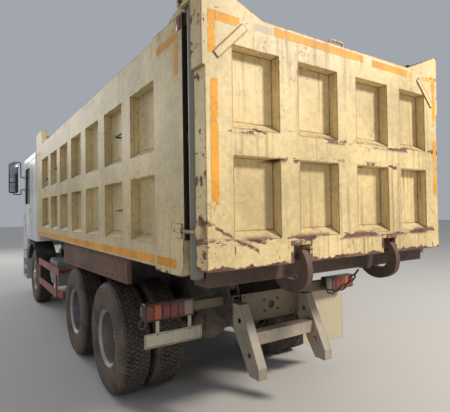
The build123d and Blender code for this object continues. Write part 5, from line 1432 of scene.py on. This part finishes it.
# %% Wipers, mirror glass and marker lamps
bm = bmesh.new()
for pivot_y in (0.62, -0.30):
    base = Vector((screen_x(1.985) + 0.014, pivot_y, 1.985))
    tip = Vector((screen_x(2.36) + 0.016, pivot_y - 0.34, 2.36))
    rod(bm, base - Vector((0.02, 0, 0)), base + Vector((0.012, 0, 0)), 0.017, 14)
    pipe(bm, [base + Vector((0.006, 0, 0)), base.lerp(tip, 0.25) + Vector((0.012, 0, 0)), tip], 0.006)
    along = Vector((-SCREEN_SLOPE * 0.5, -0.72, 0.5)).normalized()
    ends = [tip + along * reach - Vector((0.004, 0, 0)) for reach in (-0.34, 0.30)]
    pipe(bm, ends, 0.0065, 6)
add_piece("wipers", bm, black_plastic, "cab")
for side, sign in SIDES:
    bm = bmesh.new()
    for z0, z1 in ((2.325, 2.525), (2.545, 2.955)):
        rounded_box(bm, (3.9265, sign * 1.387, z0), (3.932, sign * 1.543, z1), 0.002)
    add_piece("mirror_glass_" + side, bm, mirror_glass, "cab")
bm = bmesh.new()
for y in (-0.9, -0.45, 0.45, 0.9):
    rounded_box(bm, (screen_x(3.0) + 0.002, y - 0.055, 2.965), (screen_x(3.0) + 0.022, y + 0.055, 3.0), 0.007)
add_piece("roof_markers", bm, orange_lens, "cab")
for side, sign in SIDES:
    bm = bmesh.new()
    rounded_box(bm, (4.02, sign * 1.236, 1.70), (4.12, sign * 1.2445, 1.75), 0.003)
    add_piece("side_marker_" + side, bm, orange_lens, "cab")
print("cab trim done")

# %% Seams and grips of the cab's front flap
FRONT_LEAN = 0.02 / 0.81
FRONT_FOOT_X, FRONT_FOOT_Z = 4.2635, 1.15
SEAM_LIFT, SEAM_RADIUS = 0.0015, 0.0045
FLAP_Y, FLAP_Z = (-0.98, 0.98), (1.20, 1.70)


def front_x(z):
    """Where a seam lies on the cab's leaning front, at a height."""
    return FRONT_FOOT_X - FRONT_LEAN * (z - FRONT_FOOT_Z) + SEAM_LIFT


bm = bmesh.new()
for z in FLAP_Z[::-1]:
    pipe(bm, [(front_x(z), y, z) for y in FLAP_Y], SEAM_RADIUS, 6)
for y in FLAP_Y:
    pipe(bm, [(front_x(z), y, z) for z in FLAP_Z], SEAM_RADIUS, 6)
for y in (-0.55, 0.55):
    rounded_box(bm, (4.236, y - 0.07, 1.765), (4.262, y + 0.07, 1.795), 0.008)
add_piece("front_flap_seams", bm, black_plastic, "cab")
print("flap:", FLAP_Y[1] - FLAP_Y[0], "wide and", FLAP_Z[1] - FLAP_Z[0], "high")

# %% [markdown]
# ## Headlamps
#
# Inside each lamp's outline sit two round reflectors and a small orange one, so the lens has depth. They are
# turned from an outline, because painted rings would look flat from the side.

# %% Headlamp reflectors
LAMP_FACE_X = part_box("headlamps")[1].x
for side, sign in SIDES:
    shine, amber = bmesh.new(), bmesh.new()
    for y, radius, bm in ((0.945, 0.046, shine), (1.035, 0.04, shine), (1.098, 0.018, amber)):
        rim = [(radius, 0), (radius, 0.004), (radius * 0.93, 0.006), (radius * 0.85, 0.003)]
        outline = [(0, 0)] + rim + [(0, 0.0015)]
        point_along(bm, turned(bm, outline, steps=32), (1, 0, 0), (LAMP_FACE_X - 0.002, sign * y, 0.66))
    add_piece("reflectors_" + side, shine, mirror_glass, "chassis")
    add_piece("indicator_" + side, amber, orange_lens, "chassis")
print("reflectors at x =", round(LAMP_FACE_X, 3))

# %% [markdown]
# ## Seats
#
# The frame's seats are plain blocks that show how much room they take. Padded ones replace them: cushion,
# back and headrest are pillows that the cloth tool fills out, on a moulded pedestal. Rounded blocks alone
# would look stiff.

# %% Seat pads
CLOTH_FRAMES = 20
# Sewn channels along each pad: where they lie from -1 to 1 across it, their width in the same measure, and
# their depth
CHANNEL_LINES, CHANNEL_WIDTH, CHANNEL_DEPTH = (-0.55, 0.0, 0.55), 0.045, 0.006


def settle(name, low, high, cap, recline, hinge):
    """A pad blown up by the cloth tool from a rounded block, with its swelling capped, then leant back."""
    bm = bmesh.new()
    rounded_box(bm, low, high, 0.03, 3)
    block = link_new(name + "_block", close_mesh(name + "_block", bm, 80))
    remesh = block.modifiers.new("remesh", "REMESH")
    remesh.mode, remesh.voxel_size = "VOXEL", 0.014
    mesh = bpy.data.meshes.new_from_object(block.evaluated_get(bpy.context.evaluated_depsgraph_get()))
    bpy.data.objects.remove(block)
    start = [vert.co.copy() for vert in mesh.vertices]
    pad = link_new(name + "_pad", mesh)
    cloth = pad.modifiers.new("cloth", "CLOTH").settings
    cloth.use_pressure, cloth.uniform_pressure_force = True, 4
    cloth.effector_weights.gravity = 0
    for number in range(1, CLOTH_FRAMES + 1):
        bpy.context.scene.frame_set(number)
    filled = bpy.data.meshes.new_from_object(pad.evaluated_get(bpy.context.evaluated_depsgraph_get()))
    for vert, before, after in zip(mesh.vertices, start, filled.vertices):
        move = after.co - before
        vert.co = before + move * min(1.0, cap / max(move.length, 1e-9))
    bpy.data.objects.remove(pad)
    bpy.context.scene.frame_set(1)
    middle = (Vector(low) + Vector(high)) / 2
    reach = (Vector(high) - Vector(low)) / 2
    turn = Matrix.Translation(hinge) @ Matrix.Rotation(recline, 4, "Y") @ Matrix.Translation(-Vector(hinge))
    for vert in mesh.vertices:
        across = (vert.co.y - middle.y) / reach.y
        channel = sum(math.exp(-((across - line) / CHANNEL_WIDTH) ** 2) for line in CHANNEL_LINES)
        toward = 1 if (vert.co.z > middle.z if recline == 0 else vert.co.x > middle.x) else 0
        vert.co += Vector((-CHANNEL_DEPTH, 0, 0) if recline else (0, 0, -CHANNEL_DEPTH)) * channel * toward
        vert.co = turn @ vert.co
    return mesh


SEAT_Y = (0.37, 0.85)
# Pads of the left seat: name, lower corner, upper corner, cap, recline and the point it leans about
PADS = [
    ("cushion", (2.985, 0.385, 1.685), (3.455, 0.835, 1.79), 0.012, 0.0, (0, 0, 0)),
    ("back", (2.955, 0.385, 1.80), (3.035, 0.835, 2.31), 0.011, -0.19, (2.99, 0.61, 1.78)),
    ("headrest", (2.862, 0.495, 2.345), (2.922, 0.725, 2.495), 0.009, -0.14, (2.89, 0.61, 2.34)),
]
for name, low, high, cap, recline, hinge in PADS:
    pad_mesh = settle(name, low, high, cap, recline, hinge)
    for side, sign in SIDES:
        mesh = pad_mesh.copy()
        if sign < 0:
            mesh.transform(Matrix.Translation((0, -sum(SEAT_Y), 0)))
        mesh.shade_smooth()
        pad = add_piece("seat_{}_{}".format(name, side), mesh, seat_cloth, "cab")
        smooth = pad.modifiers.new("smooth", "SUBSURF")
        smooth.levels = smooth.render_levels = 1
        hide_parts("seats")
# Each seat's foot, pan and bellows, and the two rods of its headrest
bm = bmesh.new()
for sign in (1, -1):
    y0, y1 = sorted((sign * 0.41, sign * 0.79))
    rounded_box(bm, (3.10, y0, 1.331), (3.35, y1, 1.46), 0.02)
    rounded_box(bm, (3.0, y0 + 0.01, 1.60), (3.42, y1 - 0.01, 1.682), 0.015)
    for z in (1.475, 1.515, 1.555, 1.592):
        rounded_box(bm, (3.11, y0 + 0.02, z - 0.016), (3.34, y1 - 0.02, z + 0.016), 0.012)
    for y in (sign * 0.56, sign * 0.66):
        rod(bm, (2.925, y, 2.20), (2.895, y, 2.36), 0.007)
pedestals = add_piece("seat_pedestals", bm, black_plastic, "cab")
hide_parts("seats")
print("seat pads:", 2 * len(PADS))

# %% [markdown]
# ## Brake chambers
#
# Each driven axle carries a pair of spring brake chambers. They are what a look under the truck from behind
# shows between the wheels. All their sections are round, so they are turned from an outline.

# %% Brake chambers
CHAMBER_OUTLINE = [
    (0, 0), (0.045, 0), (0.062, 0.012), (0.07, 0.04), (0.078, 0.044), (0.078, 0.054), (0.07, 0.058),
    (0.066, 0.095), (0.074, 0.10), (0.074, 0.11), (0.064, 0.116), (0.06, 0.15), (0.035, 0.165), (0, 0.165),
]
for name, axle_x in (("drive", -0.8375), ("tail", -2.1875)):
    bm = bmesh.new()
    for sign in (1, -1):
        chamber = turned(bm, CHAMBER_OUTLINE, steps=32)
        point_along(bm, chamber, (-0.96, 0, 0.28), (axle_x - 0.13, sign * 0.30, 0.60))
        rod(bm, (axle_x - 0.14, sign * 0.30, 0.60), (axle_x - 0.05, sign * 0.30, 0.575), 0.012)
    add_piece("brake_chambers_" + name, bm, axle_iron, "chassis", 40)
print("brake chambers: 4")
